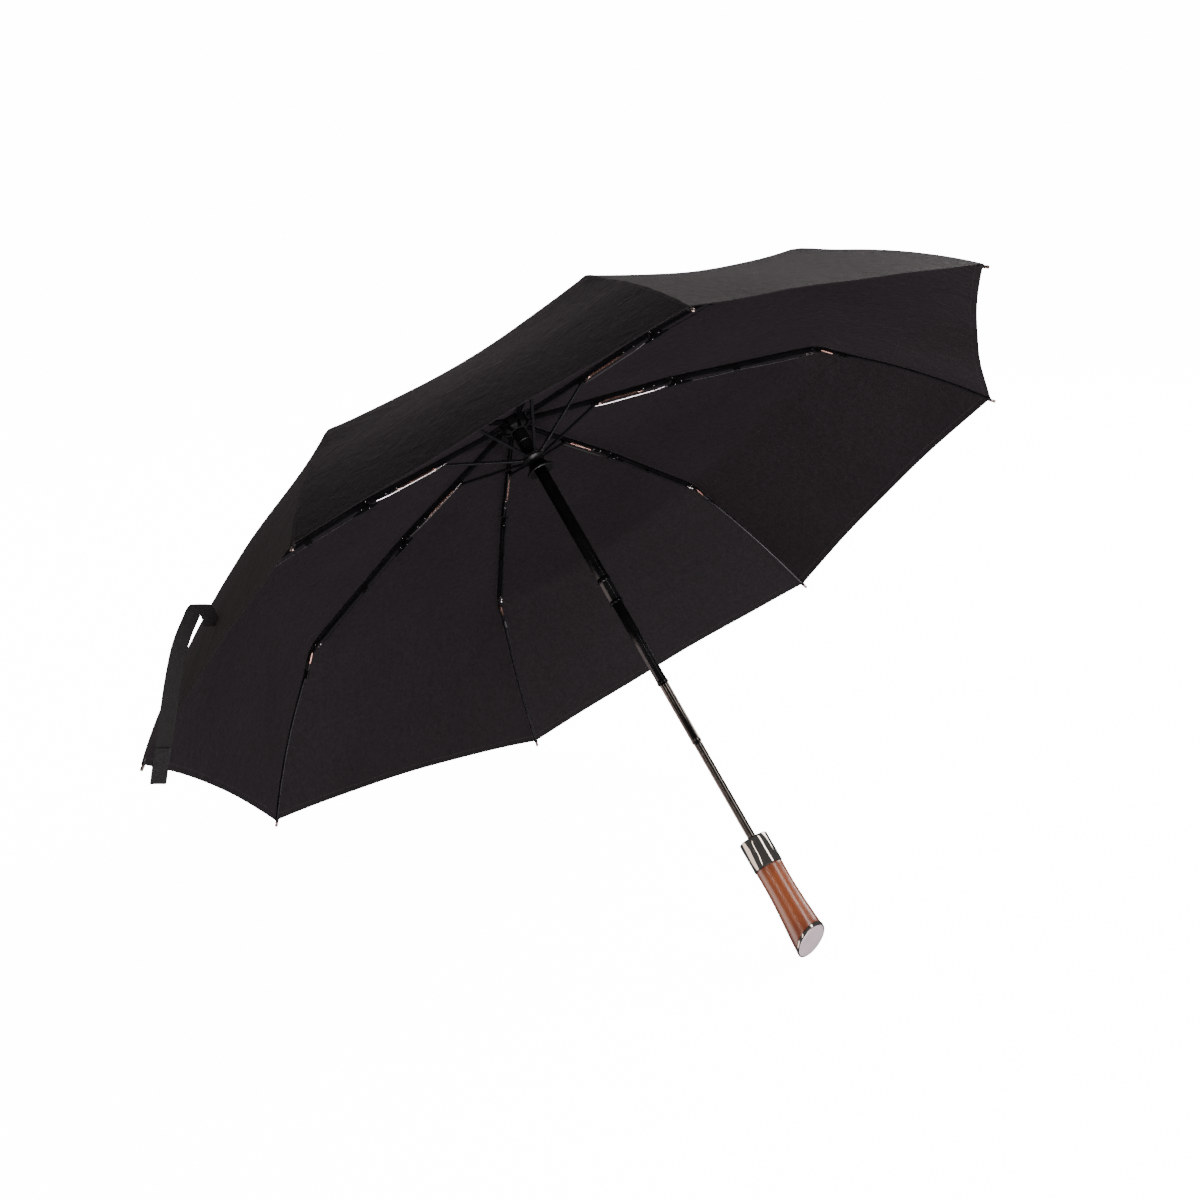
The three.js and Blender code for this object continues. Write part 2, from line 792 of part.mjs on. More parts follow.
// The tie strap is sewn to the gore between ribs 8 and 1, and hangs plumb from there.
function hangingStrap() {
  const hem = [-tipsReach, 0, TIP[1]];
  const inwards = fallOf(ELBOW, TIP);
  const root = new THREE.Vector3(
    hem[0] + STRAP.fromHem * Math.cos(inwards) - STRAP.off * Math.sin(inwards),
    0,
    hem[2] + STRAP.fromHem * Math.sin(inwards) + (STRAP.off + 3) * Math.cos(inwards),
  ).applyEuler(upright.rotation);
  const turn = THREE.MathUtils.degToRad(STRAP.turn);
  const side = new THREE.Vector3(Math.cos(turn), Math.sin(turn), 0);
  const front = new THREE.Vector3(-side.y, side.x, 0);
  const along = (lift) =>
    STRAP_HANG.map(([sideways, down]) =>
      root
        .clone()
        .addScaledVector(side, sideways)
        .addScaledVector(front, lift)
        .add(new THREE.Vector3(0, 0, -down))
        .toArray(),
    );
  const cover = (STRAP.thickness + FASTENER.thickness) / 2 + GAP;
  const across = side.toArray();
  const strap = band(along(0), across, STRAP.width, STRAP.thickness);
  const patchLine = along(cover).slice(-FASTENER.points);
  const patch = band(patchLine, across, FASTENER.width, FASTENER.thickness);
  const group = new THREE.Group();
  group.add(piece("tie_strap", strap, WEBBING), piece("strap_fastener", patch, WEBBING));
  return group;
}

const umbrella = new THREE.Group();
const hanging = hangingStrap();
umbrella.add(upright, hanging);
umbrella.updateMatrixWorld(true);
const bounds = new THREE.Box3().setFromObject(umbrella, true);
export const shift = [
  -(bounds.min.x + bounds.max.x) / 2,
  -(bounds.min.y + bounds.max.y) / 2,
  -bounds.min.z,
];
upright.position.set(...shift);
hanging.position.set(...shift);

export default umbrella;
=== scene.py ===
"""A black three-fold umbrella with eight ribs, open, resting on two rib tips and the end of its grip."""
import json
import math

import bmesh
import bpy
import numpy as np
from mathutils import Matrix, Vector


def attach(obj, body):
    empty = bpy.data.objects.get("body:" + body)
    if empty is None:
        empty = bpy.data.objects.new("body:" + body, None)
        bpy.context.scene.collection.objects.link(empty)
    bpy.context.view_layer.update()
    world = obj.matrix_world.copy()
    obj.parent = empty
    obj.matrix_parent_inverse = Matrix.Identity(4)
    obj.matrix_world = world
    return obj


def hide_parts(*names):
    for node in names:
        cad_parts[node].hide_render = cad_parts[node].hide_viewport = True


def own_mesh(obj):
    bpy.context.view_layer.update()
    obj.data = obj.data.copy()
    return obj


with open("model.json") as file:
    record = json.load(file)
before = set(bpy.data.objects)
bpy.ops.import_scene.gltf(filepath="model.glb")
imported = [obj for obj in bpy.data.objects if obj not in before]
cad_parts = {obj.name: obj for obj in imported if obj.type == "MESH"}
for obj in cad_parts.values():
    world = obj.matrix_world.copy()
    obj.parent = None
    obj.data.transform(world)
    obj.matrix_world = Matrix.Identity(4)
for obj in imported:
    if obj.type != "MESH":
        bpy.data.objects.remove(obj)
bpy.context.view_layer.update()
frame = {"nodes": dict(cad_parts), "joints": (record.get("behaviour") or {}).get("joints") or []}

# ---- the umbrella's own upright frame --------------------------------------------------------
# Lengths below are in millimetres, upright around the shaft with z towards the crown, as in CAD.
MM = 0.001
RIBS = 8
RIB_NUMBERS = range(1, RIBS + 1)
FIRST_RIB = 157.5
STEP = 45
CROWN_PIVOT = (12.2, 606.0)
KNEE = (178.2, 586.3)
ELBOW = (342.9, 556.3)
TIP = (490.0, 421.0)
RUNNER_PIVOT = (11.0, 564.5)
PIVOT_OFFSET = 2.2
STRUT_AT = 77.8
STRUT_DROP = 3.2

joints = {j["name"]: j for j in frame["joints"]}
hinge_names = ["canopy_fold"] + [f"upper_hinge_{k}" for k in RIB_NUMBERS if k > 1]
hub = np.mean([joints[name]["pos_m"] for name in hinge_names], axis=0)
UP = np.array(joints["shaft_collapse"]["axis"], float)
UP *= np.sign(UP[2]) / np.linalg.norm(UP)
ACROSS = np.array((1.0, 0.0, 0.0))
BACK = np.cross(UP, ACROSS)
TO_ROW = np.array((ACROSS, BACK, UP)) * MM
FOOT = hub - UP * CROWN_PIVOT[1] * MM


def row(points):
    """Upright points, in millimetres, as row-frame points in metres."""
    return np.asarray(points, float) @ TO_ROW + FOOT


def azimuth(k):
    return math.radians(FIRST_RIB - (k - 1) * STEP)


def outwards(angle):
    return np.array((math.cos(angle), math.sin(angle), 0.0))


def sideways(angle):
    return np.array((-math.sin(angle), math.cos(angle), 0.0))


def fall_of(a, b):
    return math.atan2(a[1] - b[1], b[0] - a[0])


def length_of(a, b):
    return math.hypot(b[0] - a[0], b[1] - a[1])


def point_on(a, b, along, above=0.0):
    fall = fall_of(a, b)
    return (
        a[0] + along * math.cos(fall) + above * math.sin(fall),
        a[1] - along * math.sin(fall) + above * math.cos(fall),
    )


class RibLine:
    """One straight stretch of one rib: along it, off to its side, and above it, to points."""

    def __init__(self, k, a, b):
        fall = fall_of(a, b)
        turn = azimuth(k)
        out = outwards(turn)
        self.start = out * a[0] + np.array((0, 0, a[1]))
        self.x = out * math.cos(fall) - np.array((0, 0, math.sin(fall)))
        self.y = sideways(turn)
        self.z = out * math.sin(fall) + np.array((0, 0, math.cos(fall)))
        self.length = length_of(a, b)

    def at(self, along, side=0.0, above=0.0):
        return self.start + self.x * along + self.y * side + self.z * above


UPPER_LENGTH = length_of(CROWN_PIVOT, KNEE)
MIDDLE_LENGTH = length_of(KNEE, ELBOW)
OUTER_LENGTH = length_of(ELBOW, TIP)
STRUT_JOINT = point_on(CROWN_PIVOT, KNEE, STRUT_AT, -STRUT_DROP)
ROD_BOW = 7.0
ROD_START = 16.0


def bow_at(along):
    """How far the outer rib has bent towards the cloth."""
    share = max(along - ROD_START, 0.0) / (OUTER_LENGTH - ROD_START)
    return 4 * ROD_BOW * share * (1 - share)


# ---- materials -------------------------------------------------------------------------------
class Look:
    """A Principled material whose colour, roughness and bump come from procedural nodes."""

    def __init__(self, name, **constants):
        self.material = bpy.data.materials.new(name)
        self.material.use_nodes = True
        self.nodes = self.material.node_tree.nodes
        self.links = self.material.node_tree.links
        self.shader = self.nodes["Principled BSDF"]
        for socket, value in constants.items():
            self.shader.inputs[socket.replace("_", " ")].default_value = value
        place = self.nodes.new("ShaderNodeTexCoord")
        self.object = place.outputs["Object"]
        self.uv = place.outputs["UV"]
        self.height = None

    def node(self, kind, settings=None, **inputs):
        made = self.nodes.new("ShaderNode" + kind)
        for key, value in (settings or {}).items():
            setattr(made, key, value)
        for key, value in inputs.items():
            self.feed(made.inputs[key.replace("_", " ")], value)
        return made

    def feed(self, socket, value):
        if isinstance(value, bpy.types.NodeSocket):
            self.links.new(value, socket)
        else:
            socket.default_value = value

    def sum_of(self, operation, *values):
        made = self.node("Math", {"operation": operation})
        for socket, value in zip(made.inputs, values):
            self.feed(socket, value)
        return made.outputs[0]

    def stretched(self, source, scale, turn=(0, 0, 0)):
        return self.node("Mapping", Vector=source, Scale=scale, Rotation=turn).outputs[0]

    def noise(self, scale, detail=3.0, roughness=0.5, source=None, distortion=0.0):
        made = self.node(
            "TexNoise",
            Vector=source or self.object,
            Scale=scale,
            Detail=detail,
            Roughness=roughness,
            Distortion=distortion,
        )
        return made.outputs[0]

    def ramp(self, factor, *stops):
        made = self.node("ValToRGB", Fac=factor)
        elements = made.color_ramp.elements
        while len(elements) < len(stops):
            elements.new(0.5)
        for element, (place, colour) in zip(elements, stops):
            element.position = place
            element.color = (*colour, 1.0)
        return made.outputs[0]

    def between(self, factor, low, high):
        made = self.node("MapRange", Value=factor)
        made.inputs["To Min"].default_value = low
        made.inputs["To Max"].default_value = high
        return made.outputs[0]

    def mixed(self, factor, a, b):
        made = self.node("Mix", {"data_type": "RGBA"})
        self.feed(made.inputs[0], factor)
        self.feed(made.inputs[6], a)
        self.feed(made.inputs[7], b)
        return made.outputs[2]

    def colour(self, source):
        self.links.new(source, self.shader.inputs["Base Color"])

    def rough(self, factor, low, high):
        self.links.new(self.between(factor, low, high), self.shader.inputs["Roughness"])

    def bump(self, height, distance, strength=1.0):
        made = self.node("Bump", Height=height, Strength=strength, Distance=distance)
        if self.height:
            self.links.new(self.height, made.inputs["Normal"])
        self.height = made.outputs[0]
        self.links.new(self.height, self.shader.inputs["Normal"])


def mottled(name, dark, light, scale, rough, bump=None, **constants):
    """A surface that drifts between two colours and two roughnesses, with a fine grain."""
    look = Look(name, **constants)
    drift = look.noise(scale, 4.0, 0.6)
    look.colour(look.ramp(drift, (0.32, dark), (0.68, light)))
    look.rough(look.noise(scale * 2.3, 3.0), *rough)
    if bump:
        grain, distance = bump
        look.bump(look.noise(grain, 2.0), distance, 0.6)
    return look


def cloth_look():
    look = Look("black_cloth", Sheen_Weight=0.12, Sheen_Roughness=0.45)
    look.shader.inputs["Sheen Tint"].default_value = (0.62, 0.55, 0.58, 1.0)
    look.shader.inputs["Specular IOR Level"].default_value = 0.17
    drift = look.noise(7.0, 4.0, 0.55)
    crinkle = look.noise(210.0, 3.0, 0.62, distortion=0.9)
    base = look.ramp(drift, (0.3, (0.0138, 0.0112, 0.0128)), (0.7, (0.0190, 0.0158, 0.0176)))
    # Painted shade in the crinkles' hollows and painted light on their ridges: the colour follows the same
    # noise that bumps them.
    crinkle_shade = look.ramp(crinkle, (0.3, (0.72, 0.72, 0.72)), (0.75, (1.3, 1.28, 1.28)))
    shaded = look.node("Mix", {"data_type": "RGBA", "blend_type": "MULTIPLY"})
    shaded.inputs[0].default_value = 1.0
    look.links.new(base, shaded.inputs[6])
    look.links.new(crinkle_shade, shaded.inputs[7])
    parts = look.node("SeparateXYZ", Vector=look.uv)
    across, from_hem = parts.outputs[0], parts.outputs[1]
    # Stitches: a dashed line 7 mm above the hem, and one each side of every rib's seam.
    hem_line = look.sum_of("COMPARE", from_hem, 7.0, 0.32)
    hem_dash = look.sum_of("GREATER_THAN", look.sum_of("PINGPONG", across, 1.3), 0.45)
    side = look.sum_of("ABSOLUTE", across)
    seam_line = look.sum_of("COMPARE", side, 2.3, 0.28)
    seam_dash = look.sum_of("GREATER_THAN", look.sum_of("PINGPONG", from_hem, 1.3), 0.45)
    stitches = look.sum_of(
        "MAXIMUM",
        look.sum_of("MULTIPLY", hem_line, hem_dash),
        look.sum_of("MULTIPLY", seam_line, seam_dash),
    )
    look.colour(look.mixed(stitches, shaded.outputs[2], (0.05, 0.045, 0.046, 1.0)))
    look.rough(drift, 0.62, 0.76)
    weave_u = look.node("TexWave", {"wave_type": "BANDS"}, Vector=look.uv, Scale=0.7).outputs[1]
    weave_v = look.node(
        "TexWave", {"wave_type": "BANDS", "bands_direction": "Y"}, Vector=look.uv, Scale=0.7
    ).outputs[1]
    look.bump(look.sum_of("ADD", weave_u, weave_v), 0.00002, 0.15)
    look.bump(crinkle, 0.0013, 0.62)
    look.bump(look.noise(34.0, 2.0, 0.5, distortion=1.2), 0.004, 0.32)
    look.bump(stitches, 0.0003, 0.8)
    return look.material


def webbing_look():
    look = Look("webbing", Sheen_Weight=0.06, Sheen_Roughness=0.5)
    rib = look.node("TexWave", {"wave_type": "BANDS", "bands_direction": "Y"}, Vector=look.uv,
                    Scale=0.42, Distortion=0.6).outputs[1]
    cord = look.node("TexWave", {"wave_type": "BANDS"}, Vector=look.uv, Scale=0.3).outputs[1]
    weave = look.sum_of("MULTIPLY", rib, cord)
    look.colour(look.ramp(weave, (0.1, (0.005, 0.0042, 0.0038)), (0.8, (0.018, 0.0155, 0.014))))
    look.rough(look.noise(160.0), 0.62, 0.85)
    look.bump(weave, 0.0003, 0.7)
    return look.material


def pile_look():
    look = Look("hook_patch", Sheen_Weight=0.3, Sheen_Roughness=0.4)
    loops = look.node("TexVoronoi", Vector=look.uv, Scale=1.3).outputs[0]
    look.colour(look.ramp(loops, (0.1, (0.028, 0.027, 0.028)), (0.6, (0.007, 0.007, 0.007))))
    look.rough(loops, 0.7, 0.95)
    look.bump(loops, 0.0006, 0.8)
    return look.material


def wood_look():
    """Glossy lacquer over fine straight grain, orange in the middle and redder at both ends."""
    look = Look("lacquered_wood", Coat_Weight=1.0, Coat_Roughness=0.28, Coat_IOR=1.55)
    look.shader.inputs["Specular IOR Level"].default_value = 0.4
    level, side = (look.node("SeparateXYZ", Vector=look.uv).outputs[i] for i in (1, 0))
    grain_place = look.stretched(look.uv, (0.9, 0.05, 1.0))
    streaks = look.noise(2.6, 6.0, 0.62, source=grain_place, distortion=0.4)
    fine = look.noise(9.0, 4.0, 0.7, source=grain_place)
    body = look.ramp(
        look.sum_of("ADD", look.sum_of("MULTIPLY", streaks, 0.8), look.sum_of("MULTIPLY", fine, 0.2)),
        (0.30, (0.20, 0.040, 0.011)),
        (0.50, (0.32, 0.076, 0.020)),
        (0.68, (0.43, 0.118, 0.030)),
    )
    # Darker and redder towards the low end, and redder towards the top.
    low = look.node("MapRange", {"interpolation_type": "SMOOTHSTEP"}, Value=level)
    low.inputs["From Min"].default_value = 34.0
    low.inputs["From Max"].default_value = -6.0
    darker_low_end = look.mixed(look.sum_of("MULTIPLY", low.outputs[0], 0.75), body, (0.085, 0.011, 0.010, 1.0))
    high = look.node("MapRange", {"interpolation_type": "SMOOTHSTEP"}, Value=level)
    high.inputs["From Min"].default_value = 66.0
    high.inputs["From Max"].default_value = 84.0
    look.colour(look.mixed(look.sum_of("MULTIPLY", high.outputs[0], 0.5), darker_low_end, (0.14, 0.025, 0.009, 1.0)))
    look.rough(streaks, 0.27, 0.34)
    look.bump(look.noise(0.35, 2.0, source=look.uv), 0.000006, 0.1)
    return look.material


def brushed_look():
    look = Look("brushed_plate", Metallic=0.4, Anisotropic=0.4)
    lines = look.noise(0.8, 5.0, 0.7, source=look.stretched(look.uv, (5.0, 0.08, 1.0)))
    look.colour(look.ramp(lines, (0.3, (0.76, 0.64, 0.65)), (0.7, (0.97, 0.85, 0.86))))
    look.rough(lines, 0.32, 0.5)
    look.bump(lines, 0.00006, 0.5)
    return look.material


BLACK_CLOTH = cloth_look()
WEBBING = webbing_look()
HOOK_PATCH = pile_look()
LACQUERED_WOOD = wood_look()
BRUSHED_PLATE = brushed_look()
BLACK_PAINT = mottled("black_paint", (0.008, 0.008, 0.009), (0.016, 0.016, 0.018), 60.0,
                      (0.24, 0.42), (900.0, 0.00003), Metallic=0.25).material
BLACK_PLASTIC = mottled("black_plastic", (0.006, 0.006, 0.006), (0.012, 0.012, 0.012), 90.0,
                        (0.3, 0.46), (1500.0, 0.00004)).material
DARK_TUBE = mottled("dark_tube", (0.012, 0.012, 0.014), (0.030, 0.029, 0.031), 40.0,
                    (0.16, 0.28), Metallic=0.8).material
SILVER_WIRE = mottled("silver_wire", (0.50, 0.46, 0.45), (0.70, 0.66, 0.64), 120.0,
                      (0.16, 0.3), Metallic=1.0).material
ROSE_STEEL = mottled("rose_steel", (0.62, 0.36, 0.29), (0.84, 0.55, 0.45), 150.0,
                     (0.18, 0.34), Metallic=1.0).material
COPPER = mottled("copper_sleeve", (0.26, 0.14, 0.11), (0.44, 0.27, 0.22), 140.0,
                 (0.22, 0.38), Metallic=1.0).material
GUNMETAL = mottled("gunmetal", (0.062, 0.055, 0.052), (0.105, 0.092, 0.086), 50.0,
                   (0.09, 0.17), Metallic=1.0).material
DARK_CHROME = mottled("dark_chrome", (0.40, 0.36, 0.325), (0.50, 0.455, 0.41), 45.0,
                      (0.05, 0.1), Metallic=1.0).material
SPRING_STEEL = mottled("spring_steel", (0.38, 0.38, 0.39), (0.55, 0.55, 0.56), 150.0,
                       (0.22, 0.36), Metallic=1.0).material
TIP_METAL = mottled("tip_metal", (0.24, 0.17, 0.155), (0.38, 0.29, 0.265), 150.0,
                    (0.2, 0.34), Metallic=1.0).material
STITCH = mottled("thread", (0.014, 0.013, 0.013), (0.03, 0.028, 0.028), 400.0,
                 (0.6, 0.8), (2500.0, 0.0001)).material


# ---- mesh helpers ----------------------------------------------------------------------------
def mesh_piece(name, body, points, faces, material, uvs=None, sharp=35.0):
    """A smooth mesh in the row frame that rides on a body. uvs are one pair for each vertex."""
    mesh = bpy.data.meshes.new(name)
    mesh.from_pydata(row(points).tolist(), [], faces)
    mesh.validate()
    if uvs is not None:
        layer = mesh.uv_layers.new(name="cloth")
        corners = np.zeros(len(mesh.loops), np.int32)
        mesh.loops.foreach_get("vertex_index", corners)
        layer.data.foreach_set("uv", np.asarray(uvs, np.float32)[corners].ravel())
    mesh.shade_smooth()
    mesh.set_sharp_from_angle(angle=math.radians(sharp))
    mesh.materials.append(material)
    made = bpy.data.objects.new(name, mesh)
    bpy.context.scene.collection.objects.link(made)
    if body:
        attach(made, body)
    return made


def bevelled(piece, width, segments=2, angle=35.0):
    edge = piece.modifiers.new("edges", "BEVEL")
    edge.width = width * MM
    edge.segments = segments
    edge.limit_method = "ANGLE"
    edge.angle_limit = math.radians(angle)
    edge.harden_normals = True
    return piece


def grid_faces(rows, columns, closed, start=0):
    """Quads of a grid of points, whose columns may close into a ring."""
    faces = []
    for i in range(rows - 1):
        for j in range(columns if closed else columns - 1):
            n = (j + 1) % columns
            a = start + i * columns
            faces.append((a + j, a + n, a + columns + n, a + columns + j))
    return faces


def lathed(profile, segments=96, centre=(0, 0, 0), axis=None, wrap=True):
    """Points, faces and uvs of a solid of revolution. The profile is a closed ring of (radius, height)."""
    angles = np.linspace(0, 2 * math.pi, segments, endpoint=False)
    u, v, w = axis or (np.array((1.0, 0, 0)), np.array((0, 1.0, 0)), np.array((0, 0, 1.0)))
    points, uvs = [], []
    for radius, height in profile:
        for a in angles:
            points.append(np.array(centre) + (u * math.cos(a) + v * math.sin(a)) * radius + w * height)
            uvs.append((radius * a, height))
    count = len(profile)
    faces = [tuple(reversed(f)) for f in grid_faces(count, segments, True)]
    if wrap:
        last = (count - 1) * segments
        faces += [(last + (j + 1) % segments, last + j, j, (j + 1) % segments) for j in range(segments)]
    else:
        faces.append(tuple(range(segments)))
        faces.append(tuple((count - 1) * segments + j for j in reversed(range(segments))))
    return points, faces, uvs


def joined(*parts):
    points, faces, uvs = [], [], []
    for p, f, t in parts:
        start = len(points)
        points += list(p)
        faces += [tuple(start + i for i in face) for face in f]
        uvs += list(t)
    return points, faces, uvs


def swept(path, radius, sides=8, taper=None):
    """A round wire along a path, with closed ends."""
    path = np.asarray(path, float)
    run = np.gradient(path, axis=0)
    run /= np.linalg.norm(run, axis=1)[:, None]
    across = np.cross(run[0], (0.31, 0.17, 0.93))
    points, uvs = [], []
    travelled = 0.0
    for i, (p, r) in enumerate(zip(path, run)):
        across = across - r * (across @ r)
        across /= np.linalg.norm(across)
        over = np.cross(r, across)
        if i:
            travelled += np.linalg.norm(p - path[i - 1])
        size = radius * (taper[i] if taper is not None else 1.0)
        for j in range(sides):
            a = 2 * math.pi * j / sides
            points.append(p + (across * math.cos(a) + over * math.sin(a)) * size)
            uvs.append((a * radius, travelled))
    faces = grid_faces(len(path), sides, True)
    faces.append(tuple(reversed(range(sides))))
    faces.append(tuple((len(path) - 1) * sides + j for j in range(sides)))
    return points, faces, uvs


def coil(line, start, end, radius, wire, turns, above, side=0.0, steps=8, sides=5):
    """A helical spring along a rib's line."""
    path = []
    for i in range(int(turns * steps) + 1):
        a = 2 * math.pi * i / steps
        along = start + (end - start) * i / (turns * steps)
        path.append(line.at(along, side + radius * math.cos(a), above + radius * math.sin(a)))
    return swept(path, wire, sides)


def rivet(line, along, above, half, radius=1.0, head=0.35):
    """A pin through a rib with a domed head at each side."""
    profile = [
        (0.02, -half - head),
        (radius * 0.55, -half - head * 0.85),
        (radius * 0.9, -half - head * 0.4),
        (radius, -half),
        (radius, half),
        (radius * 0.9, half + head * 0.4),
        (radius * 0.55, half + head * 0.85),
        (0.02, half + head),
    ]
    return lathed(profile, 14, line.at(along, 0, above), (line.x, line.z, -line.y), wrap=False)


def block(line, low, high, taper=0.0):
    """A block along a rib, from one (along, side, above) corner to another."""
    (x0, y0, z0), (x1, y1, z1) = low, high
    points = [
        line.at(x, y, z)
        for x, t in ((x0, taper), (x1, 0.0))
        for y, z in ((y0 + t, z0 + t), (y1 - t, z0 + t), (y1 - t, z1), (y0 + t, z1))
    ]
    faces = [(0, 3, 2, 1), (4, 5, 6, 7), (0, 1, 5, 4), (1, 2, 6, 5), (2, 3, 7, 6), (3, 0, 4, 7)]
    return points, faces, [(0.0, 0.0)] * 8


def cut(piece, cutter, operation="DIFFERENCE"):
    """Cuts a piece by another mesh, which goes away."""
    step = piece.modifiers.new("cut", "BOOLEAN")
    step.operation = operation
    step.solver = "EXACT"
    step.object = cutter
    graph = bpy.context.evaluated_depsgraph_get()
    mesh = bpy.data.meshes.new_from_object(piece.evaluated_get(graph))
    piece.modifiers.remove(step)
    old = piece.data
    piece.data = mesh
    bpy.data.meshes.remove(old)
    bpy.data.objects.remove(cutter)
    mesh.shade_smooth()
    mesh.set_sharp_from_angle(angle=math.radians(35))
    return piece


def repaint(node, material):
    mesh = frame["nodes"][node].data
    mesh.materials.clear()
    mesh.materials.append(material)


# ---- canopy ----------------------------------------------------------------------------------
HEM_PULL = (6.0, 3.0, 6.0, 11.0, 7.0, 4.0, 9.0, 9.0)  # from the gore before rib 1, going round
PUFF = (14.0, 3.0, 2.0, 0.0, 0.0, 0.0, 0.0, 1.0)  # how far each gore's outer part stands out
HEM_DEPTH = 8.0
SEAM_HALF = 3.0
CLOTH = 0.36
SAG = 0.042  # how deep the cloth hangs between two ribs at the elbows, as a share of their distance
ZONES = ("upper_rib", "middle_rib", "outer_rib")


def cloth_line():
    """The cloth above a rib: (distance from the axis, height) at even steps, and the two folds' places."""
    knee_fall = (fall_of(CROWN_PIVOT, KNEE) + fall_of(KNEE, ELBOW)) / 2
    elbow_fall = (fall_of(KNEE, ELBOW) + fall_of(ELBOW, TIP)) / 2

    def above(p, fall, lift):
        return (p[0] + lift * math.sin(fall), p[1] + lift * math.cos(fall))

    corners = np.array([
        (4.5, 611.5),
        (15.6, 611.5),
        (34.0, 607.4),
        above(KNEE, knee_fall, 4.9),
        above(ELBOW, elbow_fall, 6.0),
        *(point_on(ELBOW, TIP, OUTER_LENGTH * t, 2.5 + bow_at(OUTER_LENGTH * t))
          for t in (0.2, 0.35, 0.5, 0.65, 0.8, 0.9)),
        point_on(ELBOW, TIP, OUTER_LENGTH - 6.0, 2.9),
    ])
    reach = np.concatenate(([0], np.cumsum(np.linalg.norm(np.diff(corners, axis=0), axis=1))))
    even = np.linspace(0, reach[-1], 541)
    line = np.stack([np.interp(even, reach, corners[:, i]) for i in (0, 1)], 1)
    spread = np.arange(-36, 37)
    weight = np.exp(-(spread / 11.0) ** 2 / 2)
    weight /= weight.sum()
    padded = np.concatenate((2 * line[0] - line[36:0:-1], line, 2 * line[-1] - line[-2:-38:-1]))
    smooth = np.stack([np.convolve(padded[:, i], weight, "valid") for i in (0, 1)], 1)
    near_crown = np.clip((even - 14.0) / 30.0, 0, 1)[:, None]
    smooth = line * (1 - near_crown) + smooth * near_crown
    return even, smooth, reach[3], reach[4]


def cloth_rows(total, knee, elbow):
    """Distances along the cloth, with a row on each fold, and close rows at the hem's stitched band."""
    inner = np.concatenate(([0, 4, 8, 11], np.linspace(16, knee, 18)))
    middle = np.linspace(knee, elbow, 19)[1:]
    outer = np.linspace(elbow, total - HEM_DEPTH - 0.5, 19)[1:]
    hem = total - np.array((HEM_DEPTH, HEM_DEPTH / 2, 0.5, 0.0))
    rows = np.concatenate((inner, middle, outer, hem))
    return rows, len(inner) - 1, len(inner) + len(middle) - 1


NEAR_SEAM = np.array((0.0, 1.0, SEAM_HALF - 0.2, SEAM_HALF + 0.2, 6.0, 11.0))
FAR_COLUMNS = 9


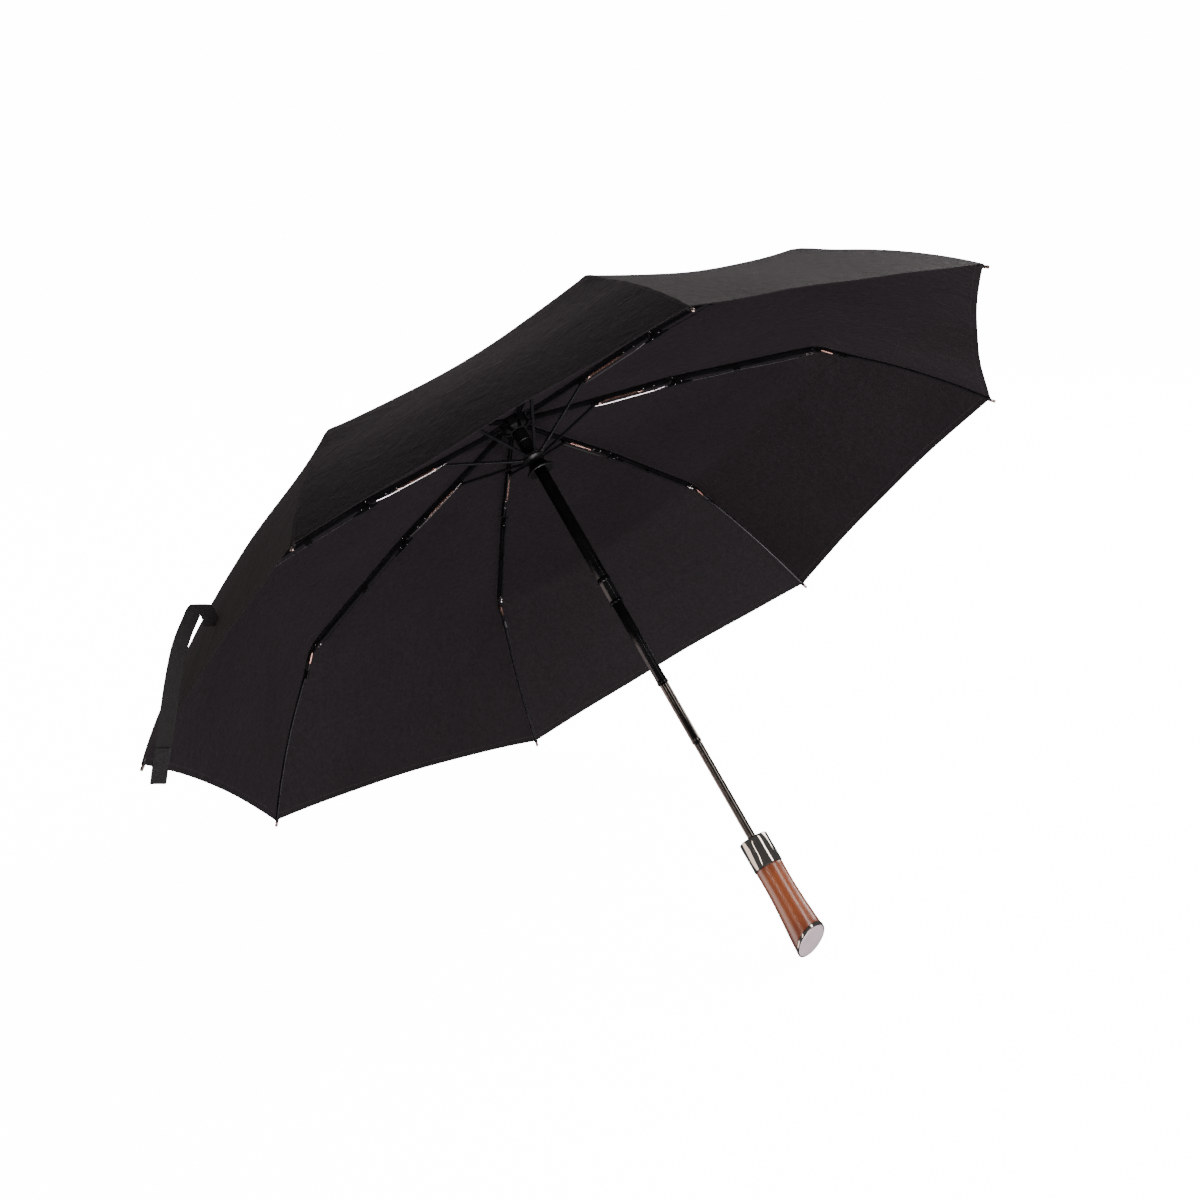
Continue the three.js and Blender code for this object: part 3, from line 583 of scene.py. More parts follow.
def canopy_sheet():
    """The whole sheet: points, outward directions, uvs and doubled bands, for each row and column."""
    even, line, knee, elbow = cloth_line()
    rows, knee_row, elbow_row = cloth_rows(even[-1], knee, elbow)
    radius = np.interp(rows, even, line[:, 0])
    height = np.interp(rows, even, line[:, 1])
    run = np.stack((np.gradient(radius, rows), np.gradient(height, rows)), 1)
    run /= np.linalg.norm(run, axis=1)[:, None]
    half = len(NEAR_SEAM) + FAR_COLUMNS
    per_gore = 2 * half - 1
    columns = RIBS * (per_gore - 1)
    points = np.zeros((len(rows), columns, 3))
    uvs = np.zeros((len(rows), columns, 2))
    share = np.clip((rows - elbow) / (rows[-1] - elbow), 0, 1)
    dip = np.interp(
        rows, (0, knee * 0.5, knee, elbow - 20, elbow + 40, rows[-1]), (0.1, 0.35, 0.7, 1.0, 0.55, 0.0)
    )
    seed = np.random.default_rng(7)
    phases = seed.uniform(0, 2 * math.pi, (RIBS, 6))
    for i in range(len(rows)):
        width = 2 * radius[i] * math.sin(math.radians(STEP / 2))
        near = NEAR_SEAM * min(1.0, width / 46.0)
        far = np.linspace(near[-1], width / 2, FAR_COLUMNS + 1)[1:]
        first = np.concatenate((near, far))
        across = np.concatenate((first, width - first[-2::-1]))
        for gore in range(RIBS):
            a0 = azimuth(1) + math.radians(gore * STEP)
            a1 = a0 + math.radians(STEP)
            for j in range(per_gore - 1):
                t = across[j] / max(width, 1e-6)
                bow = 4 * t * (1 - t)
                drawn = bow * HEM_PULL[gore] * share[i]
                r = radius[i] - drawn * run[i, 0]
                z = height[i] - drawn * run[i, 1]
                out = (1 - t) * outwards(a0) + t * outwards(a1)
                base = out * r + np.array((0, 0, z))
                lean = out / np.linalg.norm(out)
                normal = lean * -run[i, 1] + np.array((0, 0, run[i, 0]))
                sunk = bow * (SAG * width * dip[i] - PUFF[gore] * math.sin(math.pi * share[i] ** 0.8))
                from_rib = min(across[j], width - across[j])
                slack = math.exp(-from_rib / 16.0) * min(1.0, width / 90.0) * (1 - math.exp(-from_rib / 2.5))
                p = phases[gore]
                pucker = 0.34 * slack * math.sin(rows[i] / 3.1 + p[0] + 2.0 * math.sin(rows[i] / 41.0))
                # Long soft pulls that run from each tip up into the gore.
                pull = share[i] ** 2 * bow * (1 - 0.55 * bow)
                fold = 1.5 * pull * math.sin(across[j] / width * 15.0 + p[1] + 0.012 * rows[i])
                wave = 0.9 * bow * math.sin(rows[i] / 52.0 + p[2]) * math.sin(3.0 * math.pi * t + p[3])
                body = min(1.0, width / 120.0)
                points[i, gore * (per_gore - 1) + j] = base + normal * (pucker + fold + wave * body - sunk)
                signed = across[j] if across[j] <= width / 2 else across[j] - width
                uvs[i, gore * (per_gore - 1) + j] = (signed, rows[-1] - rows[i])
    along = np.gradient(points, axis=0)
    around = np.roll(points, -1, 1) - np.roll(points, 1, 1)
    normals = np.cross(around, along)
    normals *= np.sign(normals[20, 8] @ np.array((0, 0, 1.0)))
    normals /= np.maximum(np.linalg.norm(normals, axis=2), 1e-9)[..., None]
    in_hem = (rows >= rows[-1] - HEM_DEPTH - 0.01)[:, None] * np.ones(columns)
    in_seam = np.abs(uvs[..., 0]) <= SEAM_HALF * np.minimum(1.0, 2 * radius * 0.383 / 46.0)[:, None]
    doubled = np.maximum(in_hem, in_seam)
    return points, normals, uvs, doubled, (0, knee_row, elbow_row, len(rows) - 1), per_gore - 1


def canopy_piece(k, zone, sheet):
    """The part of the canopy that one stretch of one rib carries, half a gore to either side."""
    points, normals, uvs, doubled, ends, per_gore = sheet
    rows = range(ends[zone], ends[zone + 1] + 1)
    gore = (1 - k) % RIBS
    middle = gore * per_gore
    total = points.shape[1]
    picked = [(middle + j) % total for j in range(-per_gore // 2, per_gore // 2 + 1)]
    pick = np.ix_(list(rows), picked)
    p, n, d = points[pick], normals[pick], doubled[pick]
    flat = uvs[pick].reshape(-1, 2).copy()
    top = p + n * (CLOTH / 2 + 0.12 * d)[..., None]
    under = p - n * (CLOTH / 2 + 0.25 * d)[..., None]
    count = (len(rows), len(picked))
    size = count[0] * count[1]
    verts = np.concatenate((top.reshape(-1, 3), under.reshape(-1, 3)))
    upper = grid_faces(*count, False)
    rim = list(range(count[1]))
    rim += [i * count[1] + count[1] - 1 for i in range(1, count[0])]
    rim += [size - 1 - j for j in range(1, count[1])]
    rim += [i * count[1] for i in range(count[0] - 2, 0, -1)]
    probe = np.cross(verts[upper[0][1]] - verts[upper[0][0]], verts[upper[0][2]] - verts[upper[0][0]])
    faces = []
    if probe @ n.reshape(-1, 3)[0] > 0:
        faces += upper + [tuple(size + v for v in reversed(f)) for f in upper]
        faces += [(b, a, size + a, size + b) for a, b in zip(rim, rim[1:] + rim[:1])]
    else:
        faces += [tuple(reversed(f)) for f in upper] + [tuple(size + v for v in f) for f in upper]
        faces += [(a, b, size + b, size + a) for a, b in zip(rim, rim[1:] + rim[:1])]
    name = f"canopy_{ZONES[zone].split('_')[0]}_{k}"
    both_sides = np.concatenate((flat, flat))
    made = mesh_piece(name, f"{ZONES[zone]}_{k}", verts, faces, BLACK_CLOTH, both_sides, 70.0)
    facing = np.concatenate((n.reshape(-1, 3), -n.reshape(-1, 3))) @ (TO_ROW / MM)
    mesh = made.data
    corners = np.zeros(len(mesh.loops), np.int32)
    mesh.loops.foreach_get("vertex_index", corners)
    loops = facing[corners]
    for polygon in mesh.polygons:
        if polygon.index >= 2 * len(upper):
            for corner in polygon.loop_indices:
                loops[corner] = polygon.normal
    mesh.normals_split_custom_set(loops.tolist())
    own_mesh(made)
    return made


sheet_data = canopy_sheet()
canopy_pieces = [canopy_piece(k, zone, sheet_data) for k in RIB_NUMBERS for zone in range(3)]
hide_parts("canopy")


# ---- ribs ------------------------------------------------------------------------------------
def rib_details(k):
    upper = RibLine(k, CROWN_PIVOT, KNEE)
    middle = RibLine(k, KNEE, ELBOW)
    outer = RibLine(k, ELBOW, TIP)
    strut = RibLine(k, RUNNER_PIVOT, STRUT_JOINT)

    def add(name, body, parts, material, width=0.0):
        made = mesh_piece(f"{name}_{k}", f"{body}_{k}", *joined(*parts)[:2], material)
        return bevelled(made, width) if width else made

    # Return spring in the upper rib's channel, hooked just past the strut's joint.
    hook = [upper.at(STRUT_AT + 3.0, 0.0, -3.4), upper.at(STRUT_AT + 5.5, 0.0, -3.9),
            upper.at(STRUT_AT + 8.0, 0.0, -3.3), upper.at(STRUT_AT + 10.0, 0.0, -2.4)]
    tail = [upper.at(126.0, 0.0, -2.4), upper.at(129.0, 0.0, -3.1), upper.at(131.5, 0.0, -2.6)]
    add("return_spring", "upper_rib", [
        coil(upper, STRUT_AT + 10.0, 126.0, 0.95, 0.3, 48, -2.2),
        swept(hook, 0.42),
        swept(tail, 0.36),
    ], ROSE_STEEL)
    add("upper_rivets", "upper_rib", [
        rivet(upper, STRUT_AT, -STRUT_DROP, 1.75, 1.0),
        rivet(upper, 132.5, -1.0, 1.6, 0.8),
        rivet(upper, 145.0, -1.0, 1.6, 0.8),
        rivet(upper, UPPER_LENGTH, PIVOT_OFFSET, 1.6, 0.95),
    ], SILVER_WIRE)
    add("strut_clamp", "upper_rib", [
        block(upper, (STRUT_AT - 4.5, -1.75, -4.9), (STRUT_AT + 3.2, -1.35, 0.4)),
        block(upper, (STRUT_AT - 4.5, 1.35, -4.9), (STRUT_AT + 3.2, 1.75, 0.4)),
    ], BLACK_PAINT, 0.12)

    # Middle rib: knee rivet, the thin control wire under it, its clip, and the elbow's spring curls.
    end = MIDDLE_LENGTH
    wire = [middle.at(9.0, 0.6, -5.6), middle.at(22.0, 0.3, -5.3), middle.at(48.0, 0.0, -5.6),
            middle.at(70.0, 0.0, -4.6), middle.at(74.0, 0.0, -4.6), middle.at(110.0, 0.0, -5.4),
            middle.at(end - 24.0, 0.0, -5.2), middle.at(end - 9.0, 0.2, -4.2),
            middle.at(end - 2.5, 0.3, -3.4)]
    add("control_wire", "middle_rib", [swept(wire, 0.5)], BLACK_PAINT)
    add("knee_rivet", "middle_rib", [
        rivet(middle, 0.6, -6.3, 1.45, 0.75),
        rivet(middle, 8.5, -3.2, 1.45, 1.0),
    ], SILVER_WIRE)
    add("wire_clip", "middle_rib", [
        block(middle, (69.0, -1.9, -5.6), (76.0, 1.9, 1.0), 0.25),
        block(middle, (70.6, -1.3, -6.3), (74.4, 1.3, -5.4)),
    ], BLACK_PLASTIC, 0.35)
    add("elbow_spring", "middle_rib", [
        coil(middle, end - 15.0, end - 11.6, 1.5, 0.36, 4, -3.1, steps=12, sides=6),
        coil(middle, end - 9.6, end - 7.0, 1.4, 0.36, 3, -3.1, steps=12, sides=6),
        rivet(middle, end - 6.5, 0.2, 1.45, 0.8),
    ], SILVER_WIRE)

    # Outer rib: copper hinge sleeve with its rivet, and the metal tip that holds the sewn corner.
    sleeve = [(0.9, 3.6), (1.55, 3.6), (1.85, 4.0), (1.85, 15.6), (1.55, 16.4), (1.15, 16.4), (0.9, 10.0)]
    frame_axes = (outer.y, outer.z, outer.x)
    add("hinge_sleeve", "outer_rib", [lathed(sleeve, 20, outer.at(0), frame_axes)], COPPER)
    add("sleeve_rivet", "outer_rib", [rivet(outer, 9.0, 0.0, 1.75, 0.75)], SILVER_WIRE)
    add("rod_loop", "outer_rib", [
        block(outer, (24.0, -1.3, -1.8), (33.0, 1.3, 2.4), 0.3),
    ], BLACK_PLASTIC, 0.4)
    start = OUTER_LENGTH - 5.4
    cap = [(1.15, start), (1.66, start), (1.78, start + 0.5), (1.66, start + 1.4), (1.64, OUTER_LENGTH - 2.2),
           (1.82, OUTER_LENGTH - 1.8), (1.82, OUTER_LENGTH - 1.0), (1.5, OUTER_LENGTH - 0.2),
           (0.8, OUTER_LENGTH + 0.2), (0.03, OUTER_LENGTH + 0.25), (0.03, start + 2)]
    tip_centre = outer.at(0, 0, bow_at(OUTER_LENGTH - 3))
    add("rib_tip", "outer_rib", [lathed(cap, 20, tip_centre, frame_axes)], TIP_METAL)
    add("corner_thread", "outer_rib", [
        coil(outer, start - 3.6, start - 0.4, 1.75, 0.4, 5, 1.0, steps=12),
    ], STITCH)

    # The strut: a bar with eyes at both ends.
    reach = strut.length
    bar = add("strut_bar", "strut", [
        block(strut, (0.4, -1.5, -1.35), (reach, 1.5, 1.35)),
    ], BLACK_PAINT, 0.45)
    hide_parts(f"strut_{k}")
    add("strut_eyes", "strut", [
        rivet(strut, 1.6, 0.0, 1.7, 1.2),
        rivet(strut, reach, 0.0, 1.9, 1.5),
    ], BLACK_PAINT)

    for node in ("upper_rib", "middle_rib", "outer_rib"):
        repaint(f"{node}_{k}", BLACK_PAINT)
    repaint(f"link_wire_{k}", SILVER_WIRE)


for k in RIB_NUMBERS:
    rib_details(k)


# ---- crown, runner and shaft -----------------------------------------------------------------
def round_piece(name, body, profile, material, node=None, bevel=0.0, segments=96):
    points, faces, uvs = lathed(profile, segments)
    made = mesh_piece(name, body, points, faces, material, uvs)
    if node:
        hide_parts(node)
    return bevelled(made, bevel) if bevel else made


SMALL_FERRULE = [(3.8, 613.5), (10.5, 613.5), (10.6, 614.2), (10.4, 615.6), (9.4, 618.4), (8.0, 621.4),
                 (6.2, 624.4), (4.4, 626.4), (2.2, 627.5), (0.03, 627.7), (0.03, 621.4), (3.8, 621.4)]
round_piece("ferrule_cap", "frame", SMALL_FERRULE, DARK_CHROME, "ferrule")
round_piece("cloth_washer", "frame", [(3.8, 612.4), (13.5, 612.4), (13.5, 613.2), (3.8, 613.2)],
            GUNMETAL, "washer", 0.2)
round_piece("crown_collar", "frame", [
    (6.95, 571), (7.5, 571), (7.9, 571.4), (7.9, 573.4), (7.5, 573.8), (7.5, 583.6), (7.9, 584.0),
    (7.9, 586.0), (7.5, 586.4), (7.5, 595.4), (7.3, 596), (6.95, 596),
], BLACK_PLASTIC, "crown_sleeve")
runner_profile = [
    (7.1, 551.5), (12.6, 547.6), (13.2, 546.5), (14.2, 546.5), (14.7, 547.0), (14.7, 548.6), (14.3, 549.3),
    (12.4, 551), (10.6, 552.8), (9.5, 554.6), (8.95, 557.4), (9.3, 559.6), (10.2, 561.2), (11.4, 562.0),
    (11.9, 562.5), (11.9, 565.6), (11.5, 566.0), (7.1, 566.0),
]
round_piece("runner_spool", "runner", runner_profile, BLACK_PLASTIC, "runner")
lugs = []
for k in RIB_NUMBERS:
    strut_line = RibLine(k, RUNNER_PIVOT, STRUT_JOINT)
    lugs.append(block(strut_line, (-2.0, -2.6, -1.3), (3.4, -1.75, 1.3)))
    lugs.append(block(strut_line, (-2.0, 1.75, -1.3), (3.4, 2.6, 1.3)))
bevelled(mesh_piece("runner_lugs", "runner", *joined(*lugs)[:2], BLACK_PLASTIC), 0.25)
repaint("crown", BLACK_PLASTIC)


def prism(flat, bore, start, end, round_off):
    """An eight-sided tube with rounded edges and a round bore."""
    corner = flat / math.cos(math.pi / 8)
    outline = []
    for i in range(8):
        a = (i + 0.5) * math.pi / 4
        before = np.array((math.cos(a), math.sin(a))) * corner
        for t in np.linspace(-1, 1, 5):
            turn = a + t * math.pi / 8
            inset = round_off / math.cos(math.pi / 8)
            spot = before * (1 - inset / corner) + np.array((math.cos(turn), math.sin(turn))) * round_off
            outline.append(spot)
    outline = np.array(outline)
    ring = outline / np.linalg.norm(outline, axis=1)[:, None] * bore
    levels = [(outline * 0.96, start), (outline, start + 0.4), (outline, end - 0.4), (outline * 0.96, end),
              (ring, end), (ring, start)]
    points = [(x, y, z) for loop, z in levels for x, y in loop]
    uvs = [(j * 0.3, z) for loop, z in levels for j in range(len(loop))]
    count = len(outline)
    faces = [tuple(reversed(f)) for f in grid_faces(len(levels), count, True)]
    last = (len(levels) - 1) * count
    faces += [(last + (j + 1) % count, last + j, j, (j + 1) % count) for j in range(count)]
    return points, [tuple(reversed(f)) for f in faces], uvs


for node, body, size in (
    ("upper_tube", "frame", (6.2, 6.0, 384.0, 606.8, 1.1)),
    ("second_tube", "second_tube", (5.3, 5.05, 289.0, 412.0, 0.9)),
):
    points, faces, uvs = prism(*size)
    wall = mesh_piece(node + "_wall", body, points, faces, DARK_TUBE, uvs, 50.0)
    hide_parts(node)
repaint("main_spring", SPRING_STEEL)
repaint("button_spring", SPRING_STEEL)
round_piece("upper_tube_lip", "frame", [
    (6.05, 384), (6.6, 384), (6.95, 384.5), (6.95, 387.0), (6.6, 387.6), (6.3, 388.0), (6.05, 388),
], DARK_TUBE)
round_piece("upper_tube_ring", "frame", [
    (6.2, 409.4), (6.75, 410.0), (6.95, 410.6), (6.95, 413.6), (6.75, 414.2), (6.2, 414.8),
], DARK_TUBE)
round_piece("second_tube_lip", "second_tube", [
    (5.1, 289), (5.6, 289), (5.85, 289.5), (5.85, 292.0), (5.5, 292.8), (5.1, 293),
], DARK_TUBE)
round_piece("third_tube_wall", "third_tube", [
    (4.45, 221), (4.7, 221), (4.95, 221.6), (4.95, 224.4), (4.8, 225.2), (4.8, 286.0), (4.92, 287.0),
    (4.8, 288.0), (4.8, 316), (4.45, 316),
], GUNMETAL, "third_tube")
round_piece("lower_tube_wall", "handle", [
    (3.5, 22), (4.2, 22), (4.2, 217.2), (4.34, 218.0), (4.2, 218.8), (4.2, 248), (3.5, 248),
], GUNMETAL, "lower_tube")


# ---- collar and button -----------------------------------------------------------------------
BUTTON_HEIGHT = 98.7
BUTTON_TURN = math.radians(244.6)
BUTTON_RADIUS = 8.7

collar = round_piece("collar_shell", "handle", [
    (11.6, 81.3), (14.25, 81.3), (14.6, 81.5), (14.75, 82.0), (14.75, 110.9), (14.6, 111.4), (14.2, 111.8),
    (13.8, 112.0), (9.2, 112.0), (8.7, 111.8), (8.4, 111.4), (8.4, 110.0), (4.6, 110.0), (4.6, 108.4),
    (11.6, 108.4),
], DARK_CHROME, "collar", segments=160)
button_out = outwards(BUTTON_TURN)
button_side = sideways(BUTTON_TURN)
button_axes = (button_side, np.array((0, 0, 1.0)), button_out)
button_centre = np.array((0, 0, BUTTON_HEIGHT))


def button_disc(radius, start, end, segments=96):
    profile = [(0.02, start), (radius, start), (radius, end), (0.02, end)]
    return lathed(profile, segments, button_centre, button_axes)


hole = mesh_piece("button_hole", None, *button_disc(BUTTON_RADIUS + 0.5, 8.0, 20.0)[:2], DARK_CHROME)
cut(collar, hole)
button = mesh_piece("button_cap", "push_button", *button_disc(BUTTON_RADIUS, 9.2, 20.0)[:2], DARK_CHROME)
front = mesh_piece("button_front", None, *lathed([(0.02, 80), (15.1, 80), (15.1, 120), (0.02, 120)], 160)[:2],
                   DARK_CHROME)
cut(button, front, "INTERSECT")
turn = math.radians(35)
slash = math.cos(turn) * button_side + math.sin(turn) * np.array((0, 0, 1.0))
over = -math.sin(turn) * button_side + math.cos(turn) * np.array((0, 0, 1.0))
corners = [
    button_centre + button_out * d + slash * s + over * o
    for d in (14.2, 16.0) for s, o in ((-5.4, -0.28), (5.4, -0.28), (5.4, 0.28), (-5.4, 0.28))
]
groove = mesh_piece("button_groove", None, corners, block(RibLine(1, KNEE, ELBOW), (0, 0, 0), (1, 1, 1))[1],
                    DARK_CHROME)
cut(button, groove)
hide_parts("push_button")
bevelled(button, 0.45, 3, 50)
round_piece("grip_seat", "handle", [
    (11.8, 80.9), (14.25, 80.9), (14.35, 81.15), (14.25, 81.4), (11.8, 81.4),
], BLACK_PLASTIC)


# ---- grip ------------------------------------------------------------------------------------
GRIP_OUTSIDE = np.array([
    (14.2, 81.0), (13.95, 76.0), (13.88, 70.0), (13.85, 62.0), (14.0, 54.0), (14.35, 45.0), (14.95, 35.0),
    (15.7, 25.0), (16.4, 15.0), (17.0, 6.0), (17.3, -2.0), (17.3, -14.0),
])
END_TURN = math.radians(273)
END_SLANT = math.radians(27.2)
END_HEIGHT = 0.5 / math.cos(END_SLANT)
END_LEAN = outwards(END_TURN) * math.tan(END_SLANT)


def end_height(point, offset):
    """Height of the slanted end's plane, moved along its normal, under a point."""
    return END_HEIGHT + offset / math.cos(END_SLANT) + float(END_LEAN[:2] @ np.asarray(point[:2]))


def grip_body():
    segments, steps = 128, 40
    angles = np.linspace(0, 2 * math.pi, segments, endpoint=False)
    levels = GRIP_OUTSIDE[::-1]
    points, uvs = [], []
    for i in range(steps + 1):
        for a in angles:
            low = 0.0
            for _ in range(4):
                r = np.interp(low, levels[:, 1], levels[:, 0])
                low = end_height(outwards(a) * r, 2.9)
            z = 81.0 + (low - 81.0) * (i / steps)
            r = np.interp(z, levels[:, 1], levels[:, 0])
            if i == 0:
                r -= 0.35
            if i == steps:
                r -= 0.25
            points.append((r * math.cos(a), r * math.sin(a), z))
            uvs.append((15.5 * a, z))
    faces = [tuple(reversed(f)) for f in grid_faces(steps + 1, segments, True)]
    last = steps * segments
    faces.append(tuple(last + j for j in reversed(range(segments))))
    inner = len(points)
    for z, r in ((81.0, 11.2), (88.0, 11.2), (88.0, 4.5), (40.0, 4.5)):
        for a in angles:
            points.append((r * math.cos(a), r * math.sin(a), z))
            uvs.append((15.5 * a, z))
    faces += [(j, (j + 1) % segments, inner + (j + 1) % segments, inner + j) for j in range(segments)]
    faces += grid_faces(4, segments, True, inner)
    faces.append(tuple(inner + 3 * segments + j for j in range(segments)))
    return mesh_piece("grip_body", "handle", points, faces, LACQUERED_WOOD, uvs, 50.0)


def slanted(profile, segments=128):
    """A ring around the grip's slanted end, from (radius, offset from the end) points."""
    angles = np.linspace(0, 2 * math.pi, segments, endpoint=False)
    points, uvs = [], []
    for r, offset in profile:
        for a in angles:
            spot = outwards(a) * r
            points.append((spot[0], spot[1], end_height(spot, offset)))
            uvs.append((spot[0], spot[1]))
    count = len(profile)
    faces = [tuple(reversed(f)) for f in grid_faces(count, segments, True)]
    last = (count - 1) * segments
    faces += [(last + (j + 1) % segments, last + j, j, (j + 1) % segments) for j in range(segments)]
    return points, faces, uvs


grip = grip_body()
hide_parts("grip")
RING_PROFILE = [(16.3, 2.6), (16.3, 0.15), (16.45, 0.0), (17.15, 0.0), (17.42, 0.15), (17.5, 0.5),
                (17.5, 2.3), (17.3, 2.6)]
ring = mesh_piece("end_ring", "handle", *slanted(RING_PROFILE)[:2], DARK_CHROME)
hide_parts("cap_ring")
PLATE_PROFILE = [(0.02, 1.2), (15.9, 1.2), (16.0, 1.1), (16.0, 0.05), (15.85, -0.15), (15.5, -0.27),
                 (12.0, -0.3), (0.02, -0.3)]
plate_points, plate_faces, plate_uvs = slanted(PLATE_PROFILE)
plate = mesh_piece("end_plate", "handle", plate_points, plate_faces, BRUSHED_PLATE, plate_uvs)
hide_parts("end_cap")


# ---- tie strap -------------------------------------------------------------------------------
STRAP_WIDTH = 15.0
STRAP_FROM_HEM = 42.0
STRAP_OFF = 15.0
STRAP_TURN = math.radians(138)
STRAP_HANG = np.array([
    (0, 2), (0.6, -4), (3.5, -12), (8.5, -18.5), (13.5, -15), (17.5, -7), (25, 9), (31, 26), (38.5, 57),
    (45.5, 93), (50, 115), (53, 130), (56.5, 149),
], float)
hem_reach = TIP[0] * math.cos(math.radians(STEP / 2))
inwards = fall_of(ELBOW, TIP)
strap_root = row((
    -hem_reach + STRAP_FROM_HEM * math.cos(inwards) - STRAP_OFF * math.sin(inwards),
    0.0,
    TIP[1] + STRAP_FROM_HEM * math.sin(inwards) + (STRAP_OFF + 3) * math.cos(inwards),
))
strap_side = np.array((math.cos(STRAP_TURN), math.sin(STRAP_TURN), 0.0))
strap_front = np.array((-strap_side[1], strap_side[0], 0.0))


def smooth_line(points, count):
    """Even points on a smooth curve through the given ones."""
    p = np.concatenate((2 * points[:1] - points[1:2], points, 2 * points[-1:] - points[-2:-1]))
    out = []
    for i in range(1, len(p) - 2):
        for t in np.linspace(0, 1, 24, endpoint=False):
            out.append(0.5 * (2 * p[i] + (p[i + 1] - p[i - 1]) * t
                              + (2 * p[i - 1] - 5 * p[i] + 4 * p[i + 1] - p[i + 2]) * t ** 2
                              + (3 * p[i] - p[i - 1] - 3 * p[i + 1] + p[i + 2]) * t ** 3))
    out = np.array(out + [points[-1]])
    reach = np.concatenate(([0], np.cumsum(np.linalg.norm(np.diff(out, axis=0), axis=1))))
    even = np.linspace(0, reach[-1], count)
    return np.stack([np.interp(even, reach, out[:, i]) for i in range(out.shape[1])], 1), reach[-1]


def ribbon(name, line, width, thickness, lift, material, curl=0.0):
    """A woven band along a line of (sideways, down) points, in the strap's plane."""
    section = []
    for x in np.linspace(-0.5, 0.5, 9):
        edge = 1.0 - 0.45 * (abs(x) * 2) ** 6
        section.append((x * width, edge * thickness / 2))
    ring = [(x, h) for x, h in section] + [(x, -h) for x, h in reversed(section)]
    run = np.gradient(line, axis=0)
    run /= np.linalg.norm(run, axis=1)[:, None]
    points, uvs = [], []
    travelled = 0.0
    for i, (p, r) in enumerate(zip(line, run)):
        if i:
            travelled += np.linalg.norm(p - line[i - 1])
        centre = strap_root + (strap_side * p[0] - np.array((0, 0, p[1]))) * MM
        across = strap_side
        along = strap_side * r[0] - np.array((0, 0, r[1]))
        normal = np.cross(along, across)
        size = np.linalg.norm(normal)
        normal = strap_front if size < 1e-3 else normal / size
        for x, h in ring:
            bend = curl * (2 * x / width) ** 2
            points.append(centre + (across * x + strap_front * (lift + bend) + normal * h) * MM)
            uvs.append((x, travelled))
    columns = len(ring)
    faces = grid_faces(len(line), columns, True)
    faces.append(tuple(reversed(range(columns))))
    faces.append(tuple((len(line) - 1) * columns + j for j in range(columns)))
    upright = (np.array(points) - FOOT) @ np.linalg.inv(TO_ROW)
    made = mesh_piece(name, "strap", upright, faces, material, uvs, 60.0)
    fix = bmesh.new()
    fix.from_mesh(made.data)
    bmesh.ops.recalc_face_normals(fix, faces=fix.faces)
    fix.to_mesh(made.data)
    fix.free()
    return made


hang, hang_length = smooth_line(STRAP_HANG, 90)
strap = ribbon("strap_band", hang, STRAP_WIDTH, 1.2, 0.0, WEBBING, 0.5)
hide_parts("tie_strap")
patch_line, patch_length = smooth_line(STRAP_HANG[-3:], 30)
patch = ribbon("strap_patch", patch_line, 14.0, 1.0, 1.4, HOOK_PATCH, 0.4)
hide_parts("strap_fastener")


# ---- stage, light and camera -----------------------------------------------------------------
def stage_look(name, glow):
    look = Look(name, Roughness=0.9)
    cloudy = look.noise(0.4, 1.0)
    look.colour(look.ramp(cloudy, (0.3, (0.93, 0.93, 0.93)), (0.7, (0.96, 0.96, 0.96))))
    look.shader.inputs["Emission Color"].default_value = (1.0, 1.0, 1.0, 1.0)
    look.shader.inputs["Emission Strength"].default_value = glow
    return look.material


def stage_mesh(name, points, faces, glow):
    mesh = bpy.data.meshes.new(name)
    mesh.from_pydata(points, [], faces)
    mesh.materials.append(stage_look(name + "_look", glow))
    made = bpy.data.objects.new(name, mesh)
    bpy.context.scene.collection.objects.link(made)
    made.visible_glossy = False
    made.visible_diffuse = False
    return made


GLOW = 15.0
turns = np.linspace(0, 2 * math.pi, 64, endpoint=False)
disc = [(24 * math.cos(a), 24 * math.sin(a), -0.0006) for a in turns]
floor = stage_mesh("floor", disc, [tuple(range(64))], GLOW)
floor.visible_shadow = False
dome_points, dome_faces, _ = lathed([(24, -1), (24, 6), (17, 17), (6, 23), (0.1, 24)], 48, wrap=False)
dome = stage_mesh("backdrop", [tuple(p) for p in dome_points], dome_faces[:-2], GLOW)
dome.visible_shadow = False

world = bpy.data.worlds.new("studio")
bpy.context.scene.world = world
world.use_nodes = True
world.node_tree.nodes["Background"].inputs["Color"].default_value = (0.94, 0.96, 1.0, 1.0)
world.node_tree.nodes["Background"].inputs["Strength"].default_value = 0.13

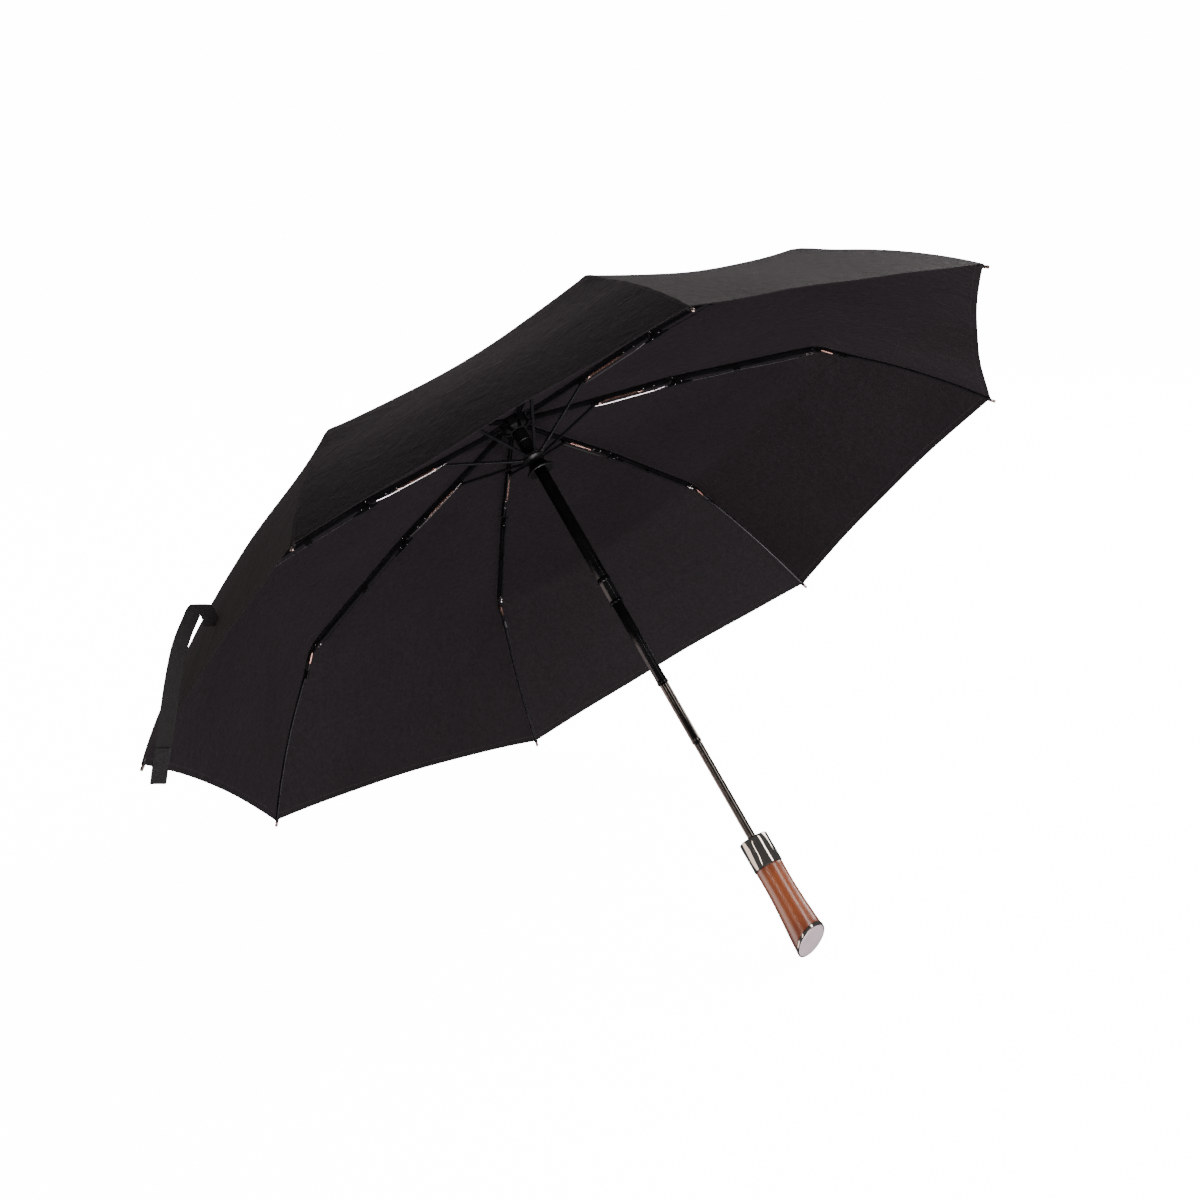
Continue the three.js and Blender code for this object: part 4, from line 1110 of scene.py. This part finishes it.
focus = Vector(row((0, 0, 380)))


def softbox(name, offset, size, power, colour=(1, 1, 1), aim=None):
    light = bpy.data.lights.new(name, "AREA")
    light.shape = "RECTANGLE"
    light.size, light.size_y = size
    light.energy = power
    light.color = colour
    made = bpy.data.objects.new(name, light)
    bpy.context.scene.collection.objects.link(made)
    made.location = focus + Vector(offset)
    target = Vector(aim) if aim else focus
    made.rotation_euler = (target - made.location).to_track_quat("-Z", "Y").to_euler()
    return made


grip_middle = tuple(row((0, 0, 50)))


def key_at(name, azimuth_deg, elevation_deg, size, power, colour, distance=3.0):
    """A softbox seen from the grip in a direction, facing it."""
    a, e = math.radians(azimuth_deg), math.radians(elevation_deg)
    way = Vector((math.cos(a) * math.cos(e), math.sin(a) * math.cos(e), math.sin(e)))
    return softbox(name, Vector(grip_middle) + way * distance - focus, size, power, colour, grip_middle)


key_at("rim_box", 5, 36, (1.6, 1.6), 72, (1.0, 0.97, 0.95))
key_at("grip_strip", -80, 50, (0.5, 1.6), 26, (1.0, 0.95, 0.92))
key_at("left_box", 140, -18, (1.9, 1.9), 34, (1.0, 0.83, 0.76))
key_at("thin_strip", -168, 22, (0.12, 1.6), 8, (1.0, 0.9, 0.82))
softbox("low_box", (-0.55, -2.1, -0.8), (2.4, 0.9), 62, (1.0, 0.92, 0.98))
softbox("back_box", (0.9, 1.9, 1.5), (2.0, 1.0), 3, (1.0, 0.98, 0.96))

camera = bpy.data.cameras.new("camera")
camera.lens = 64.5
camera.sensor_width = 36.0
camera_object = bpy.data.objects.new("camera", camera)
bpy.context.scene.collection.objects.link(camera_object)
bpy.context.scene.camera = camera_object
right = Vector((0.74261, -0.66967, -0.00661))
forward = Vector((0.64184, 0.71443, -0.27866)).normalized()
right = (right - forward * right.dot(forward)).normalized()
up = right.cross(forward)
camera_object.matrix_world = Matrix((
    (right.x, up.x, -forward.x, -1.37395),
    (right.y, up.y, -forward.y, -1.54641),
    (right.z, up.z, -forward.z, 0.89225),
    (0, 0, 0, 1),
))
